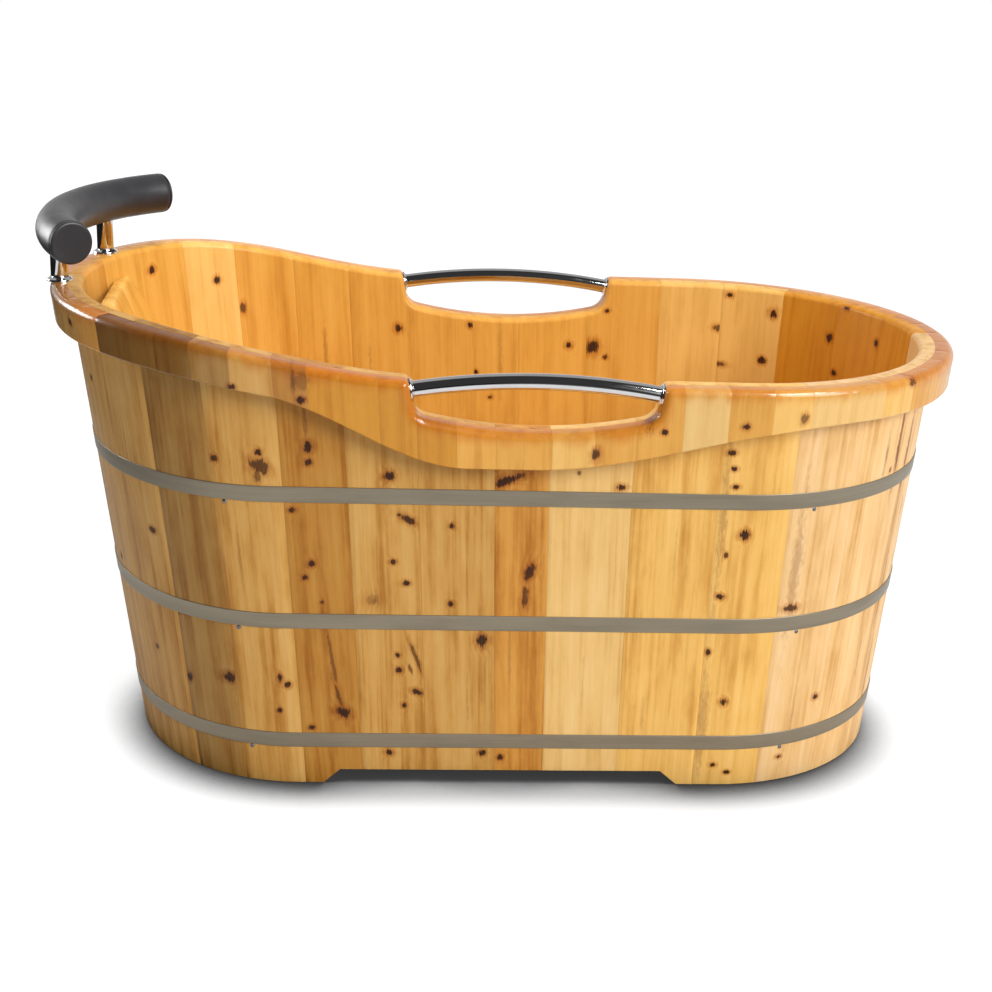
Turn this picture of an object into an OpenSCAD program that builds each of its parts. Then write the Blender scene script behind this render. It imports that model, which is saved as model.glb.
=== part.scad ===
// Oval wooden bathtub, built like a cask. Tapered staves stand round an oval floor that
// sits in a groove in them, three steel hoops bind them, and a rim of blocks is glued round
// their heads. It has a grab handle in each side, a headrest, a backrest and a floor drain.
// The long axis is X with the head end at -X, Z is up, and the tub stands on z = 0.

/* [Oval of the wall at the floor] */
// Half length of the straight sides
straight_half = 343; // [300:1:400]
// Half width over the staves
half_width = 303; // [280:1:340]
// How far the head end curves out past the straight sides
head_curve_len = 285; // [260:1:330]
// How far the foot end curves out past the straight sides
foot_curve_len = 320; // [280:1:350]

/* [Flare of the wall, from the floor to the foot rim] */
// Outward lean of each long side
side_flare = 47; // [30:1:60]
// Growth of the straight half length
straight_flare = 23; // [0:1:40]
// Shift of the oval towards the head end
head_lean = 28; // [0:1:40]

/* [Staves] */
// Thickness of the staves
stave_t = 25; // [20:1:30]
// Widths of the staves of one side, from the middle of the head to the middle of the foot
stave_widths = [100, 100, 100, 99, 108, 97, 107, 115, 83, 126, 133, 113, 113, 113, 112, 112]; // [80:1:140]
// Widest flat facet that a sanded curve is drawn with
facet_w = 30; // [20:1:60]
// Rounding of the inner top edge
inner_round = 8; // [3:1:12]

/* [Rim] */
// Height of the rim round the foot end
foot_height = 706; // [640:1:760]
// Height of the rim round the head end
head_height = 770; // [710:1:840]
// Where the rim starts to rise, measured from the middle of the floor towards the head
rise_start = 120; // [0:10:160]
// Where the rim has reached its head height
rise_end = 660; // [560:10:700]
// Thickness of the rim blocks outside the staves
rim_t = 30; // [20:1:40]
// Rounding of the outer top edge
rim_round = 12; // [6:1:16]
// Depth of the blocks below the rim's top at the two ends
apron_depth = 57; // [45:1:70]
// How much deeper the blocks dip under the handles
apron_dip = 77; // [60:1:90]
// Length of the level stretch of the dip
dip_level_len = 90; // [40:5:160]
// Run of the dip towards the head
dip_head_run = 310; // [250:10:360]
// Run of the dip towards the foot
dip_foot_run = 500; // [380:10:560]

/* [Handles and their notches] */
// Place of the handles, from the middle of the floor towards the foot
handle_x = 10; // [-20:1:40]
// Half length of a handle between the cheeks of its notch
handle_half = 189; // [160:1:200]
// Rise of the bent tube from its ends to its middle
handle_rise = 16.5; // [12:0.5:24]
// Height of the tube's middle over the foot rim's top
handle_over = 0.5; // [-4:0.5:6]
// Diameter of the tube
handle_d = 25; // [20:1:28]
// Wall of the tube
tube_wall = 1.5; // [1:0.25:3]
// Depth of the notch below the foot rim's top
notch_depth = 76; // [70:1:86]
// Radius of the dished bottom of the notch
notch_dish = 750; // [500:10:1200]
// Radius of the two lower corners of the notch
notch_corner = 30; // [20:1:34]
// Diameter of the round flange at each end of a handle
handle_flange_d = 36; // [32:1:44]
// Thickness of that flange
handle_flange_t = 5; // [3:0.5:8]

/* [Hoops] */
// Width of the steel strip
hoop_w = 26; // [20:1:30]
// Thickness of the steel strip
hoop_t = 1.5; // [1:0.25:2]
// Clear height between the upper hoop and the lowest edge of the rim's blocks
upper_hoop_gap = 44; // [10:1:80]
// Height of the lower hoop's middle over the floor boards' underside
lower_hoop_rise = 22; // [0:1:50]
// Where the middle hoop stands between the other two, as a share of the way up
middle_hoop_share = 0.5; // [0.4:0.01:0.6]
// Diameter of the nail heads that stop a hoop from slipping
nail_head_d = 7; // [5:0.5:9]
// Diameter of the nails' shanks
nail_d = 2.8; // [2:0.2:3.4]

/* [Floor and feet] */
// Height of the floor boards' underside
base_z = 60; // [52:1:66]
// Thickness of the floor boards
base_t = 25; // [20:1:30]
// Depth of the groove that holds the floor in the staves
croze = 8; // [5:1:10]
// Height of the arch between the feet
arch_h = 25; // [15:1:32]
// Half length of the arch at its top
arch_half = 264; // [200:1:280]
// Place of the arch's middle, towards the head
arch_back = 12; // [0:1:30]
// Length of the slant at each end of the arch
arch_ramp = 28; // [15:1:40]
// Width of the battens under the floor
batten_w = 60; // [40:1:80]
// Height of those battens
batten_h = 28; // [18:1:30]
// Distance of the outer battens from the middle one
batten_step = 290; // [240:1:320]

/* [Backrest] */
// Height of its top edge under the head rim's top
backrest_drop = 39; // [25:1:80]
// Place of its top edge, from the middle of the floor towards the head
backrest_x = 660; // [620:1:675]
// Lean back from upright, in degrees
backrest_lean = 25; // [18:0.5:30]
// Thickness of its planks
plank_t = 18; // [14:1:22]
// Half width of the middle plank
plank_half = 75; // [60:1:90]

/* [Headrest] */
// Radius of the bend of the padded bar
pad_bend = 345; // [340:1:350]
// Half of the angle that the pad covers
pad_angle = 40; // [34:0.5:50]
// Diameter of the foam roll
pad_d = 68; // [56:1:76]
// Height of the roll's middle over the rim
pad_over = 87; // [70:1:110]
// How far it is mounted round towards the far side, in degrees
pad_turn = 11; // [0:0.5:16]
// Rounding of the roll's ends
pad_round = 7; // [3:1:12]
// Half of the angle between the two posts
post_angle = 18.5; // [12:0.5:24]
// Diameter of the posts
post_d = 28; // [22:1:30]
// Diameter of the steel bar inside the foam
bar_d = 20; // [16:1:24]
// Diameter of the posts' base flanges
post_flange_d = 42; // [38:1:46]
// Thickness of those flanges
post_flange_t = 6; // [4:0.5:9]

/* [Drain] */
// Place of the drain, from the middle of the floor towards the foot
drain_x = 470; // [400:1:500]
// Radius of the hole in the floor
drain_hole_r = 25; // [25:0.5:28]
// Outer radius of the threaded body
drain_body_r = 24; // [22:0.5:24]
// Radius of the flange on the floor
drain_flange_r = 36; // [34:0.5:40]
// Thickness of the flange
drain_flange_t = 3; // [2:0.5:4]
// Outer radius of the tail that takes the waste pipe
tail_r = 20; // [18:0.5:21]
// Height of the tail's lower end
tail_z = 14; // [8:1:20]
// Radius of the stopper's cap
stopper_r = 31; // [29:0.5:32]
// Radius of the stopper's stem
stem_r = 4; // [3:0.5:5]
// How far the stopper lifts
stopper_lift = 8; // [5:0.5:9]

/* [Hidden] */
// Gap between pieces that slide together, and the wider one along a curved wall
slip = 0.3;
wall_gap = 1;
// Radial play of the stem in its guide
stem_play = 0.06;
$fn = 64;

upper_hoop_z = foot_height - apron_depth - apron_dip - upper_hoop_gap - hoop_w / 2;
lower_hoop_z = base_z + lower_hoop_rise;
middle_hoop_z = lower_hoop_z + middle_hoop_share * (upper_hoop_z - lower_hoop_z);

board_count = 5;
board_names = [for (k = [1 : board_count]) str("base_board_", k)];
stave_names = [for (k = [1 : 2 * len(stave_widths)]) str("stave_", k < 10 ? "0" : "", k)];

// The oval. A generator is a straight line up the wall, numbered 0 at the middle of the
// head, 1 and 2 at the ends of the near side, 3 at the middle of the foot, and on to 6.
// Every piece of the wall is drawn between the same generators, so that they all meet.
function flare(z) = z / foot_height;
function end_x(z) = straight_half + straight_flare * flare(z);
function width_y(z, off) = half_width + side_flare * flare(z) + off;
function middle_x(z) = -head_lean * flare(z);
head_ratio = head_curve_len / half_width;
foot_ratio = foot_curve_len / half_width;

function near_part(g) = g <= 3 ? g : 6 - g;
function plan_x(h, z, off) =
    h < 1 ? middle_x(z) - end_x(z) - head_ratio * width_y(z, off) * cos(90 * h) :
    h < 2 ? middle_x(z) + (2 * h - 3) * end_x(z) :
    middle_x(z) + end_x(z) + foot_ratio * width_y(z, off) * cos(90 * (3 - h));
function plan_y(h, z, off) = width_y(z, off) * (h < 1 ? sin(90 * h) : h < 2 ? 1 : sin(90 * (3 - h)));
function wall_at(g, off, z) = [
    plan_x(near_part(g), z, off),
    (g <= 3 ? -1 : 1) * plan_y(near_part(g), z, off),
    z
];
// Half width of the head end's inside at a given x and height
function head_y(x, z, off) =
    let (past = (middle_x(z) - end_x(z) - x) / (head_ratio * width_y(z, off)))
    width_y(z, off) * (past <= 0 ? 1 : sqrt(max(0, 1 - past * past)));

// Girth of one side at the middle hoop, which the stave widths are shared out on
girth_w = width_y(middle_hoop_z, 0);
head_len = PI / 4 * (head_ratio + 1) * girth_w;
side_len = 2 * end_x(middle_hoop_z);
foot_len = PI / 4 * (foot_ratio + 1) * girth_w;
function total(v, n) = n == 0 ? 0 : v[n - 1] + total(v, n - 1);
stave_count = len(stave_widths);
closing = (head_len + side_len + foot_len) / total(stave_widths, stave_count);
function generator(s) =
    s < head_len ? s / head_len :
    s < head_len + side_len ? 1 + (s - head_len) / side_len :
    2 + (s - head_len - side_len) / foot_len;
seams = [for (i = [0 : stave_count]) generator(total(stave_widths, i) * closing)];

// Heights along the rim
function ease(t) = (1 - cos(180 * min(1, max(0, t)))) / 2;
function rim_rise(x) = foot_height
    + (head_height - foot_height) * ease((-x - rise_start) / (rise_end - rise_start));
function dip(x) = apron_dip * (1 - (x < -dip_level_len
    ? ease((-dip_level_len - x) / dip_head_run) : ease(x / dip_foot_run)));
function rim_low(g) = let (x = wall_at(g, 0, foot_height)[0]) rim_rise(x) - apron_depth - dip(x);

// Handles: the tube is an arc in an upright plane, and the cheeks of the notch are square to it
handle_bend = (handle_half * handle_half + handle_rise * handle_rise) / (2 * handle_rise);
handle_turn = asin(handle_half / handle_bend);
handle_z = foot_height + handle_over;
handle_y = width_y(handle_z, (rim_t - stave_t) / 2);
bend_z = handle_z - handle_bend;

// The notch's outline on the side view, half of it, from the middle of the dish to the top of
// the cheek. Each corner is an arc that touches the dish and the cheek.
dish_z = foot_height - notch_depth + notch_dish;
corner_reach = let (q = dish_z - bend_z, side = notch_dish - notch_corner)
    q * cos(handle_turn)
    - sqrt(side * side - pow(notch_corner - q * sin(handle_turn), 2));
corner_at = [corner_reach * sin(handle_turn) - notch_corner * cos(handle_turn),
    bend_z + corner_reach * cos(handle_turn) + notch_corner * sin(handle_turn)];
corner_start = atan2(corner_at[1] - dish_z, corner_at[0]);
dish_steps = 4;
corner_steps = 4;
function cheek_top(sign) = let (z = rim_rise(handle_x + sign * handle_half))
    [(z - bend_z) * tan(handle_turn), z];
function half_notch(sign) = concat(
    [for (k = [0 : dish_steps]) let (a = -90 + (corner_start + 90) * k / dish_steps)
        [notch_dish * cos(a), dish_z + notch_dish * sin(a)]],
    [for (k = [1 : corner_steps]) let (a = corner_start - (corner_start + handle_turn) * k / corner_steps)
        corner_at + notch_corner * [cos(a), sin(a)]],
    [cheek_top(sign)]);
notch = let (head = half_notch(-1), foot = half_notch(1), last = len(head) - 1) concat(
    [for (k = [last : -1 : 1]) [handle_x - head[k][0], head[k][1]]],
    [for (q = foot) [handle_x + q[0], q[1]]]);
arch = [[-arch_back - arch_half - arch_ramp, 0], [-arch_back - arch_half, arch_h],
    [-arch_back + arch_half, arch_h], [-arch_back + arch_half + arch_ramp, 0]];
function outline(x) = x > notch[0][0] && x < notch[len(notch) - 1][0] ? lookup(x, notch) : rim_rise(x);

// Height at which a generator ends at the top, where x changes a little on the way up
function settle(g, z, turns) = turns == 0 ? z : settle(g, outline(wall_at(g, 0, z)[0]), turns - 1);
function rim_top(g) = settle(g, foot_height, 16);
function foot_low(g) = lookup(wall_at(g, 0, arch_h / 2)[0], arch);

// Generators of each stave: its two seams, the ends of the straight side, the corners of the
// notch and the arch, and enough between them to draw the curves
function side_generator(q) = 1.5 + (q[0] - middle_x(q[1])) / (2 * end_x(q[1]));
corners = concat([1, 2], [for (q = concat(notch, arch)) side_generator(q)]);
notch_span = [side_generator(notch[0]), side_generator(notch[len(notch) - 1])];
closest = 5 / side_len;
function clear(g) = (g < notch_span[0] || g > notch_span[1])
    && min([for (c = corners) abs(g - c)]) > closest;
function ordered(v) = len(v) < 2 ? v : let (p = v[0]) concat(
    ordered([for (q = v) if (q < p) q]), [p], ordered([for (q = v) if (q > p) q]));
function near_lines(i) =
    let (a = seams[i], b = seams[i + 1], n = ceil(stave_widths[i] * closing / facet_w))
    concat([a], ordered(concat(
        [for (c = corners) if (c > a && c < b) c],
        [for (j = [1 : n - 1]) let (g = a + (b - a) * j / n) if (clear(g)) g])), [b]);
near_staves = [for (i = [0 : stave_count - 1]) near_lines(i)];
far_staves = [for (i = [stave_count - 1 : -1 : 0]) let (v = near_staves[i])
    [for (j = [len(v) - 1 : -1 : 0]) 6 - v[j]]];
stave_lines = concat(near_staves, far_staves);
// Generators round the whole tub. The straight sides are flat and need none of their own.
function bends(g) = near_part(g) <= 1 || near_part(g) >= 2;
ring_lines = [for (v = stave_lines, j = [0 : len(v) - 2]) if (bends(v[j])) v[j]];

// Rows of [offset from the staves' outer face, height] round a cut through a stave or a block
croze_top = base_z + base_t + slip;
function stave_section(low, top) = concat(
    [[0, low], [0, top]],
    [for (a = [90 : 45 : 180]) [-stave_t + inner_round * (1 + cos(a)), top - inner_round * (1 - sin(a))]],
    [[-stave_t, croze_top], [croze - stave_t, croze_top], [croze - stave_t, base_z],
     [-stave_t, base_z], [-stave_t, low]]);
lip = 3;
function rim_section(low, top) = concat(
    [[0, low], [rim_t - lip, low], [rim_t, low + lip]],
    [for (a = [0 : 30 : 90]) [rim_t - rim_round * (1 - cos(a)), top - rim_round * (1 - sin(a))]],
    [[0, top]]);
function cut_points(g, section) = [for (q = section) wall_at(g, q[0], q[1])];

// The pad's bend is centred on the curve of the head end
pad_x = middle_x(head_height) - end_x(head_height);
pad_z = head_height + pad_over;

// The whole tub is shifted so that x = 0 is halfway along it, the headrest included
foot_reach = max([for (q = cut_points(3, rim_section(rim_low(3), rim_top(3)))) q[0]]);
shift_x = -(foot_reach + pad_x - pad_bend - pad_d / 2) / 2;
module placed() translate([shift_x, 0, 0]) children();

// Solid through a row of rings that have the same number of points each. Where the rings
// twist, its sides aren't flat and are split into triangles.
module loft(rings, closed = false, twisted = false) {
    n = len(rings[0]);
    m = len(rings);
    sides = [for (i = [0 : closed ? m - 1 : m - 2], k = [0 : n - 1])
        let (j = (i + 1) % m, l = (k + 1) % n) [i * n + k, i * n + l, j * n + l, j * n + k]];
    split = [for (q = sides, half = [1, 2]) [q[0], q[half], q[half + 1]]];
    caps = closed ? [] : [[for (k = [n - 1 : -1 : 0]) k], [for (k = [0 : n - 1]) (m - 1) * n + k]];
    polyhedron([for (r = rings, q = r) q], concat(twisted ? split : sides, caps));
}

// One stave of the wall. The near side is 0 and up from head to foot, the far side goes back.
module stave(k) color(k % 3 == 0 ? "burlywood" : k % 3 == 1 ? "sandybrown" : "peru") placed()
    loft([for (g = stave_lines[k]) cut_points(g, stave_section(foot_low(g), rim_top(g)))]);

// Blocks of the rim. Each reaches from the middle of one stave to the middle of the next,
// and has a thin glue line at each end.
glue = 0.2;
glue_turn = glue / 2 / head_len;
function middle_line(k) = let (n = len(stave_lines[k]), h = floor(n / 2)) k < stave_count ? h : n - 1 - h;
module rim_blocks(first, count) color("goldenrod") placed()
    for (b = [first : first + count - 1]) {
        k = (b + 2 * stave_count) % (2 * stave_count);
        one = stave_lines[k];
        two = stave_lines[(k + 1) % (2 * stave_count)];
        mid_one = middle_line(k);
        mid_two = middle_line((k + 1) % (2 * stave_count));
        lines = concat([one[mid_one] + glue_turn], [for (j = [mid_one + 1 : len(one) - 1]) one[j]],
            [for (j = [1 : mid_two - 1]) two[j]], [two[mid_two] - glue_turn]);
        loft([for (g = lines) cut_points(g, rim_section(rim_low(g), rim_top(g)))]);
    }

// A steel hoop, drawn round every generator of the wall
module hoop(z) color("gray") placed()
    loft([for (g = ring_lines) cut_points(g, [
        [0, z - hoop_w / 2], [hoop_t, z - hoop_w / 2], [hoop_t, z + hoop_w / 2], [0, z + hoop_w / 2]
    ])], closed = true);

// Nails under the hoops, where the long sides meet the curved ends
nail_places = [0.84, 2.22, 3.78, 5.16];
nail_len = 15;
nail_head_t = 1.5;
module hoop_nails() color("slategray") placed()
    for (z = [upper_hoop_z, middle_hoop_z, lower_hoop_z], g = nail_places) {
        at = wall_at(g, 0, z - (hoop_w + nail_head_d) / 2 - slip);
        out = wall_at(g, 1, at[2]) - at;
        translate(at) rotate([0, 90, atan2(out[1], out[0])]) {
            cylinder(d = nail_head_d, h = nail_head_t);
            translate([0, 0, -nail_len]) cylinder(d = nail_d, h = nail_len + nail_head_t / 2);
        }
    }

// Floor boards with tongues and grooves, cut to the oval inside the groove of the staves
board_w = 2 * width_y(base_z, croze - stave_t) / board_count;
tongue = 8;
module base_board(k) color("tan") placed() difference() {
    intersection() {
        translate([0, 0, base_z]) linear_extrude(base_t)
            polygon([for (g = ring_lines) let (p = wall_at(g, croze - stave_t - slip, base_z)) [p[0], p[1]]]);
        rotate([90, 0, 90]) linear_extrude(4 * straight_half + 4 * half_width, center = true)
            board_section(k);
    }
    translate([drain_x, 0, base_z - base_t]) cylinder(r = drain_hole_r, h = 3 * base_t);
}
module board_section(k) {
    low = (k - board_count / 2) * board_w;
    difference() {
        union() {
            translate([low + (k == 0 ? 0 : slip), base_z]) square([board_w - (k == 0 ? 0 : slip), base_t]);
            if (k < board_count - 1)
                translate([low + board_w - tongue, base_z + base_t / 3]) square([2 * tongue, base_t / 3]);
        }
        if (k > 0)
            translate([low - slip, base_z + base_t / 3 - slip])
                square([tongue + 2 * slip, base_t / 3 + 2 * slip]);
    }
}

// Battens across the underside of the floor
module base_battens() color("peru") placed() for (x = batten_step * [-1, 0, 1]) {
    half = width_y(base_z - batten_h, -stave_t) * (abs(x) > straight_half ? 0.9 : 1) - wall_gap;
    translate([x - arch_back - batten_w / 2, -half, base_z - batten_h]) cube([batten_w, 2 * half, batten_h]);
}

// The backrest leans on the head end, with its two side planks scribed to the curved wall
backrest_top = head_height - backrest_drop;
floor_z = base_z + base_t;
backrest_low = floor_z + slip;
scribe_steps = 10;
function backrest_line(z, depth) = -backrest_x + (backrest_top - z) * tan(backrest_lean)
    - depth / cos(backrest_lean);
function scribe(z, depth) =
    let (x = backrest_line(z, depth)) [x, head_y(x, z, -stave_t - wall_gap), z];
module backrest_planks() color("orange") placed() {
    loft([for (z = [backrest_low, backrest_top])
        [for (c = [[0, -1], [plank_t, -1], [plank_t, 1], [0, 1]])
            [backrest_line(z, c[0]), c[1] * (plank_half - slip / 2), z]]]);
    side_plank();
    mirror([0, 1, 0]) side_plank();
}
module side_plank() loft([for (k = [0 : scribe_steps])
    let (z = backrest_low + (backrest_top - backrest_low) * k / scribe_steps,
        front = scribe(z, 0), back = scribe(z, plank_t), y = plank_half + slip / 2)
    [[front[0], y, z], [back[0], y, z], back, front]], twisted = true);

// Two battens that hold the planks together from behind
backrest_batten_w = 40;
backrest_batten_t = 16;
module backrest_battens() color("peru") placed() for (share = [0.25, 0.72]) {
    z = floor_z + (backrest_top - floor_z) * share;
    half = head_y(backrest_line(z, plank_t + backrest_batten_t), z, -stave_t - wall_gap) - backrest_batten_w;
    loft([for (dz = [-0.5, 0.5] * backrest_batten_w)
        [for (c = [[plank_t, -half], [plank_t + backrest_batten_t, -half],
                [plank_t + backrest_batten_t, half], [plank_t, half]])
            [backrest_line(z + dz, c[0]), c[1], z + dz]]]);
}

// A handle is a bent tube with a plug welded in each end, tapped for a hanger bolt
bolt_r = 4;
plug_len = 22;
module handle_frame(side) translate([handle_x, side * handle_y, bend_z]) children();
module at_handle_ends() for (s = [-1, 1]) rotate([0, s * handle_turn, 0])
    translate([0, 0, handle_bend]) rotate([0, s * 90, 0]) children();
module handle(side) color("silver") placed() handle_frame(side) {
    rotate([90, 0, 0]) rotate([0, 0, 90 - handle_turn]) rotate_extrude(angle = 2 * handle_turn)
        translate([handle_bend, 0]) difference() {
            circle(d = handle_d);
            circle(d = handle_d - 2 * tube_wall);
        }
    at_handle_ends() translate([0, 0, -plug_len]) difference() {
        cylinder(d = handle_d - 1.6 * tube_wall, h = plug_len);
        translate([0, 0, -1]) cylinder(r = bolt_r, h = plug_len + 2);
    }
}

module handle_flanges() color("silver") placed() for (side = [-1, 1]) handle_frame(side)
    at_handle_ends() translate([0, 0, -handle_flange_t]) difference() {
        cylinder(d = handle_flange_d, h = handle_flange_t);
        translate([0, 0, -1]) cylinder(d = handle_d + slip, h = handle_flange_t + 2);
    }

// Hanger bolts: half in the wood, half in the handles' plugs and the posts' feet
bolt_len = 56;
module hanger_bolts() color("darkgray") placed() {
    for (side = [-1, 1]) handle_frame(side) at_handle_ends()
        translate([0, 0, slip - plug_len]) cylinder(r = bolt_r - slip / 2, h = bolt_len);
    at_posts() translate([0, 0, head_height + post_flange_t + plug_len - bolt_len])
        cylinder(r = bolt_r - slip / 2, h = bolt_len);
}

// The headrest is a foam roll on a bent bar, carried by two posts on the head rim
module pad_frame() translate([pad_x, 0, 0]) rotate([0, 0, 180 - pad_turn]) children();
module at_posts() pad_frame() for (s = [-1, 1]) rotate([0, 0, s * post_angle])
    translate([pad_bend, 0, 0]) children();
bar_angle = pad_angle - 4;
module headrest_frame() color("silver") placed() {
    difference() {
        union() {
            translate([0, 0, pad_z]) pad_frame() rotate([0, 0, -bar_angle])
                rotate_extrude(angle = 2 * bar_angle) translate([pad_bend, 0]) circle(d = bar_d);
            at_posts() translate([0, 0, head_height + slip])
                cylinder(d = post_d, h = pad_over - slip);
        }
        at_posts() cylinder(r = bolt_r, h = head_height + post_flange_t + plug_len + slip);
    }
}

module headrest_flanges() color("silver") placed() at_posts() translate([0, 0, head_height])
    difference() {
        cylinder(d = post_flange_d, h = post_flange_t);
        translate([0, 0, -1]) cylinder(d = post_d + slip, h = post_flange_t + 2);
    }

module headrest_pillow() color("dimgray") placed() difference() {
    translate([0, 0, pad_z]) pad_frame() {
        rotate([0, 0, -pad_angle]) rotate_extrude(angle = 2 * pad_angle)
            translate([pad_bend, 0]) circle(d = pad_d);
        for (s = [-1, 1]) rotate([0, 0, s * pad_angle]) translate([pad_bend, 0, 0])
            rotate([s * -90, 0, 0]) translate([0, 0, -pad_round]) rotate_extrude() pad_end();
    }
    translate([0, 0, pad_z]) pad_frame() rotate([0, 0, -bar_angle - 0.1])
        rotate_extrude(angle = 2 * bar_angle + 0.2) translate([pad_bend, 0]) circle(d = bar_d + 2 * slip);
    at_posts() translate([0, 0, head_height]) cylinder(d = post_d + 2 * slip, h = pad_over + slip);
}
// Profile of the roll's end, a disc with a rounded edge that stands in the end of the bend
module pad_end() {
    square([pad_d / 2 - 1, pad_round]);
    square([pad_d / 2 - 1 - pad_round, 2 * pad_round]);
    translate([pad_d / 2 - 1 - pad_round, pad_round]) intersection() {
        circle(pad_round);
        square(pad_round);
    }
}

// Floor drain: a flanged body clamps the floor board between a gasket and a nut
gasket_t = 2;
nut_h = 10;
nut_flats = 62;
body_wall = 4;
guide_h = 8;
guide_r = 7;
arm_w = 4;
flange_z = floor_z + gasket_t;
guide_z = base_z + 2;
seat_z = flange_z + drain_flange_t;
module at_drain(z) placed() translate([drain_x, 0, z]) children();
module drain_body() color("silver") {
    body_low = base_z - nut_h - 2;
    difference() {
        union() {
            at_drain(flange_z) cylinder(r = drain_flange_r, h = drain_flange_t);
            at_drain(body_low) cylinder(r = drain_body_r, h = flange_z - body_low + 1);
            at_drain(tail_z) cylinder(r = tail_r, h = body_low - tail_z + 1);
        }
        at_drain(body_low + body_wall) cylinder(r = drain_body_r - body_wall, h = seat_z);
        at_drain(tail_z - 1) cylinder(r = tail_r - 2.5, h = body_low + body_wall - tail_z + 2);
    }
    difference() {
        union() {
            at_drain(guide_z) cylinder(r = guide_r, h = guide_h);
            for (a = [0, 120, 240]) at_drain(guide_z) rotate([0, 0, a])
                translate([0, -arm_w / 2, 0]) cube([drain_body_r - body_wall / 2, arm_w, guide_h / 2]);
        }
        at_drain(guide_z - 1) cylinder(r = stem_r + stem_play, h = guide_h + 2);
    }
}

module drain_gasket() color("black") difference() {
    at_drain(floor_z) cylinder(r = drain_flange_r - 1, h = gasket_t);
    at_drain(floor_z - 1) cylinder(r = drain_body_r + slip, h = gasket_t + 2);
}

module drain_nut() color("silver") difference() {
    at_drain(base_z - nut_h) cylinder(d = nut_flats / cos(30), h = nut_h, $fn = 6);
    at_drain(base_z - nut_h - 1) cylinder(r = drain_body_r + slip / 2, h = nut_h + 2);
}

// The stopper lifts straight up in the guide, and a collar on its stem stops it
seal_t = 3;
cap_t = 3;
cap_dome = 3;
collar_h = 3;
cap_z = seat_z + slip + seal_t;
collar_z = guide_z - stopper_lift - 1 - collar_h;
module drain_stopper() color("silver") {
    at_drain(cap_z) cylinder(r = stopper_r, h = cap_t);
    at_drain(cap_z + cap_t) cylinder(r1 = stopper_r, r2 = stopper_r - 3 * cap_dome, h = cap_dome);
    at_drain(collar_z + 1) cylinder(r = stem_r, h = cap_z - collar_z);
    at_drain(collar_z) cylinder(r = stem_r + 2, h = collar_h);
}

module stopper_seal() color("black") difference() {
    at_drain(seat_z + slip) cylinder(r = drain_body_r + 4, h = seal_t);
    at_drain(seat_z) cylinder(r = stem_r + slip, h = 2 * seal_t);
}

// The rim's blocks in four groups, those of the two ends and of the two sides
end_turn = floor(stave_count / 4);
end_blocks = 2 * end_turn + 1;
side_blocks = stave_count - end_blocks;

for (k = [0 : 2 * stave_count - 1])
    stave(k);
for (k = [0 : board_count - 1])
    base_board(k);
rim_blocks(-end_turn - 1, end_blocks);  // rim_head
rim_blocks(end_turn, side_blocks);  // rim_near
rim_blocks(end_turn + side_blocks, end_blocks);  // rim_foot
rim_blocks(stave_count + end_turn, side_blocks);  // rim_far
hoop(upper_hoop_z);  // hoop_upper
hoop(middle_hoop_z);  // hoop_middle
hoop(lower_hoop_z);  // hoop_lower
hoop_nails();
base_battens();
backrest_planks();
backrest_battens();
handle(-1);  // handle_near
handle(1);  // handle_far
handle_flanges();
hanger_bolts();
headrest_pillow();
headrest_frame();
headrest_flanges();
drain_body();
drain_gasket();
drain_nut();
drain_stopper();
stopper_seal();
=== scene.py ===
"""Oval wooden bathtub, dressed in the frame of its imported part.

The wall is drawn between straight lines that run up a tapered oval. A line has a number: 0 at the
middle of the head, 1 and 2 at the ends of the near side, 3 at the middle of the foot, and on to 6
back along the far side. Staves, rim strips and hoops all stand on these lines, so they meet.
"""

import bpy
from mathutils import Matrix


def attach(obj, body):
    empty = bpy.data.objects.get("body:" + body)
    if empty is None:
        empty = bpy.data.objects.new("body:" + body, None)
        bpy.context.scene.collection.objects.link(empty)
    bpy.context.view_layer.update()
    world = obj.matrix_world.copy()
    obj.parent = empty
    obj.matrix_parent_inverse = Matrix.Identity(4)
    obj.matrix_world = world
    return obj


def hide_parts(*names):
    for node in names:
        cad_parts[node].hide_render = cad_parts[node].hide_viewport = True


bl_info = {
    "name": "Oval Wooden Bathtub",
    "version": (1, 0, 0),
    "blender": (4, 5, 0),
    "location": "3D View > Sidebar > Bathtub",
    "description": "Builds the staves, rim, hoops and fittings of a wooden bathtub, with their finishes",
    "category": "Add Mesh",
}

import math
import random

import bmesh
import bpy
import numpy as np
from mathutils import Matrix, Vector

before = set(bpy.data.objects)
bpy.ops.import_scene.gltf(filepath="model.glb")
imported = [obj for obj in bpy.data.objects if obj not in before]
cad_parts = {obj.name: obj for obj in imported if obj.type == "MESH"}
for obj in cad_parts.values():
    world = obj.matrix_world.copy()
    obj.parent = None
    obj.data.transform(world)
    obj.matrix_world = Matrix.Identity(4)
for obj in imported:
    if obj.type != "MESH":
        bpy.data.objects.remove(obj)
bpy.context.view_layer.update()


# ---------------------------------------------------------------------------------------------
# Properties

def metres(name, description, default):
    return bpy.props.FloatProperty(
        name=name, description=description, default=default, unit="LENGTH", precision=4)


def turn(name, description, degrees):
    return bpy.props.FloatProperty(
        name=name, description=description, default=math.radians(degrees), subtype="ANGLE")


def colour(name, description, default):
    return bpy.props.FloatVectorProperty(
        name=name, description=description, default=default, subtype="COLOR", size=3, min=0, max=1)


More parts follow.
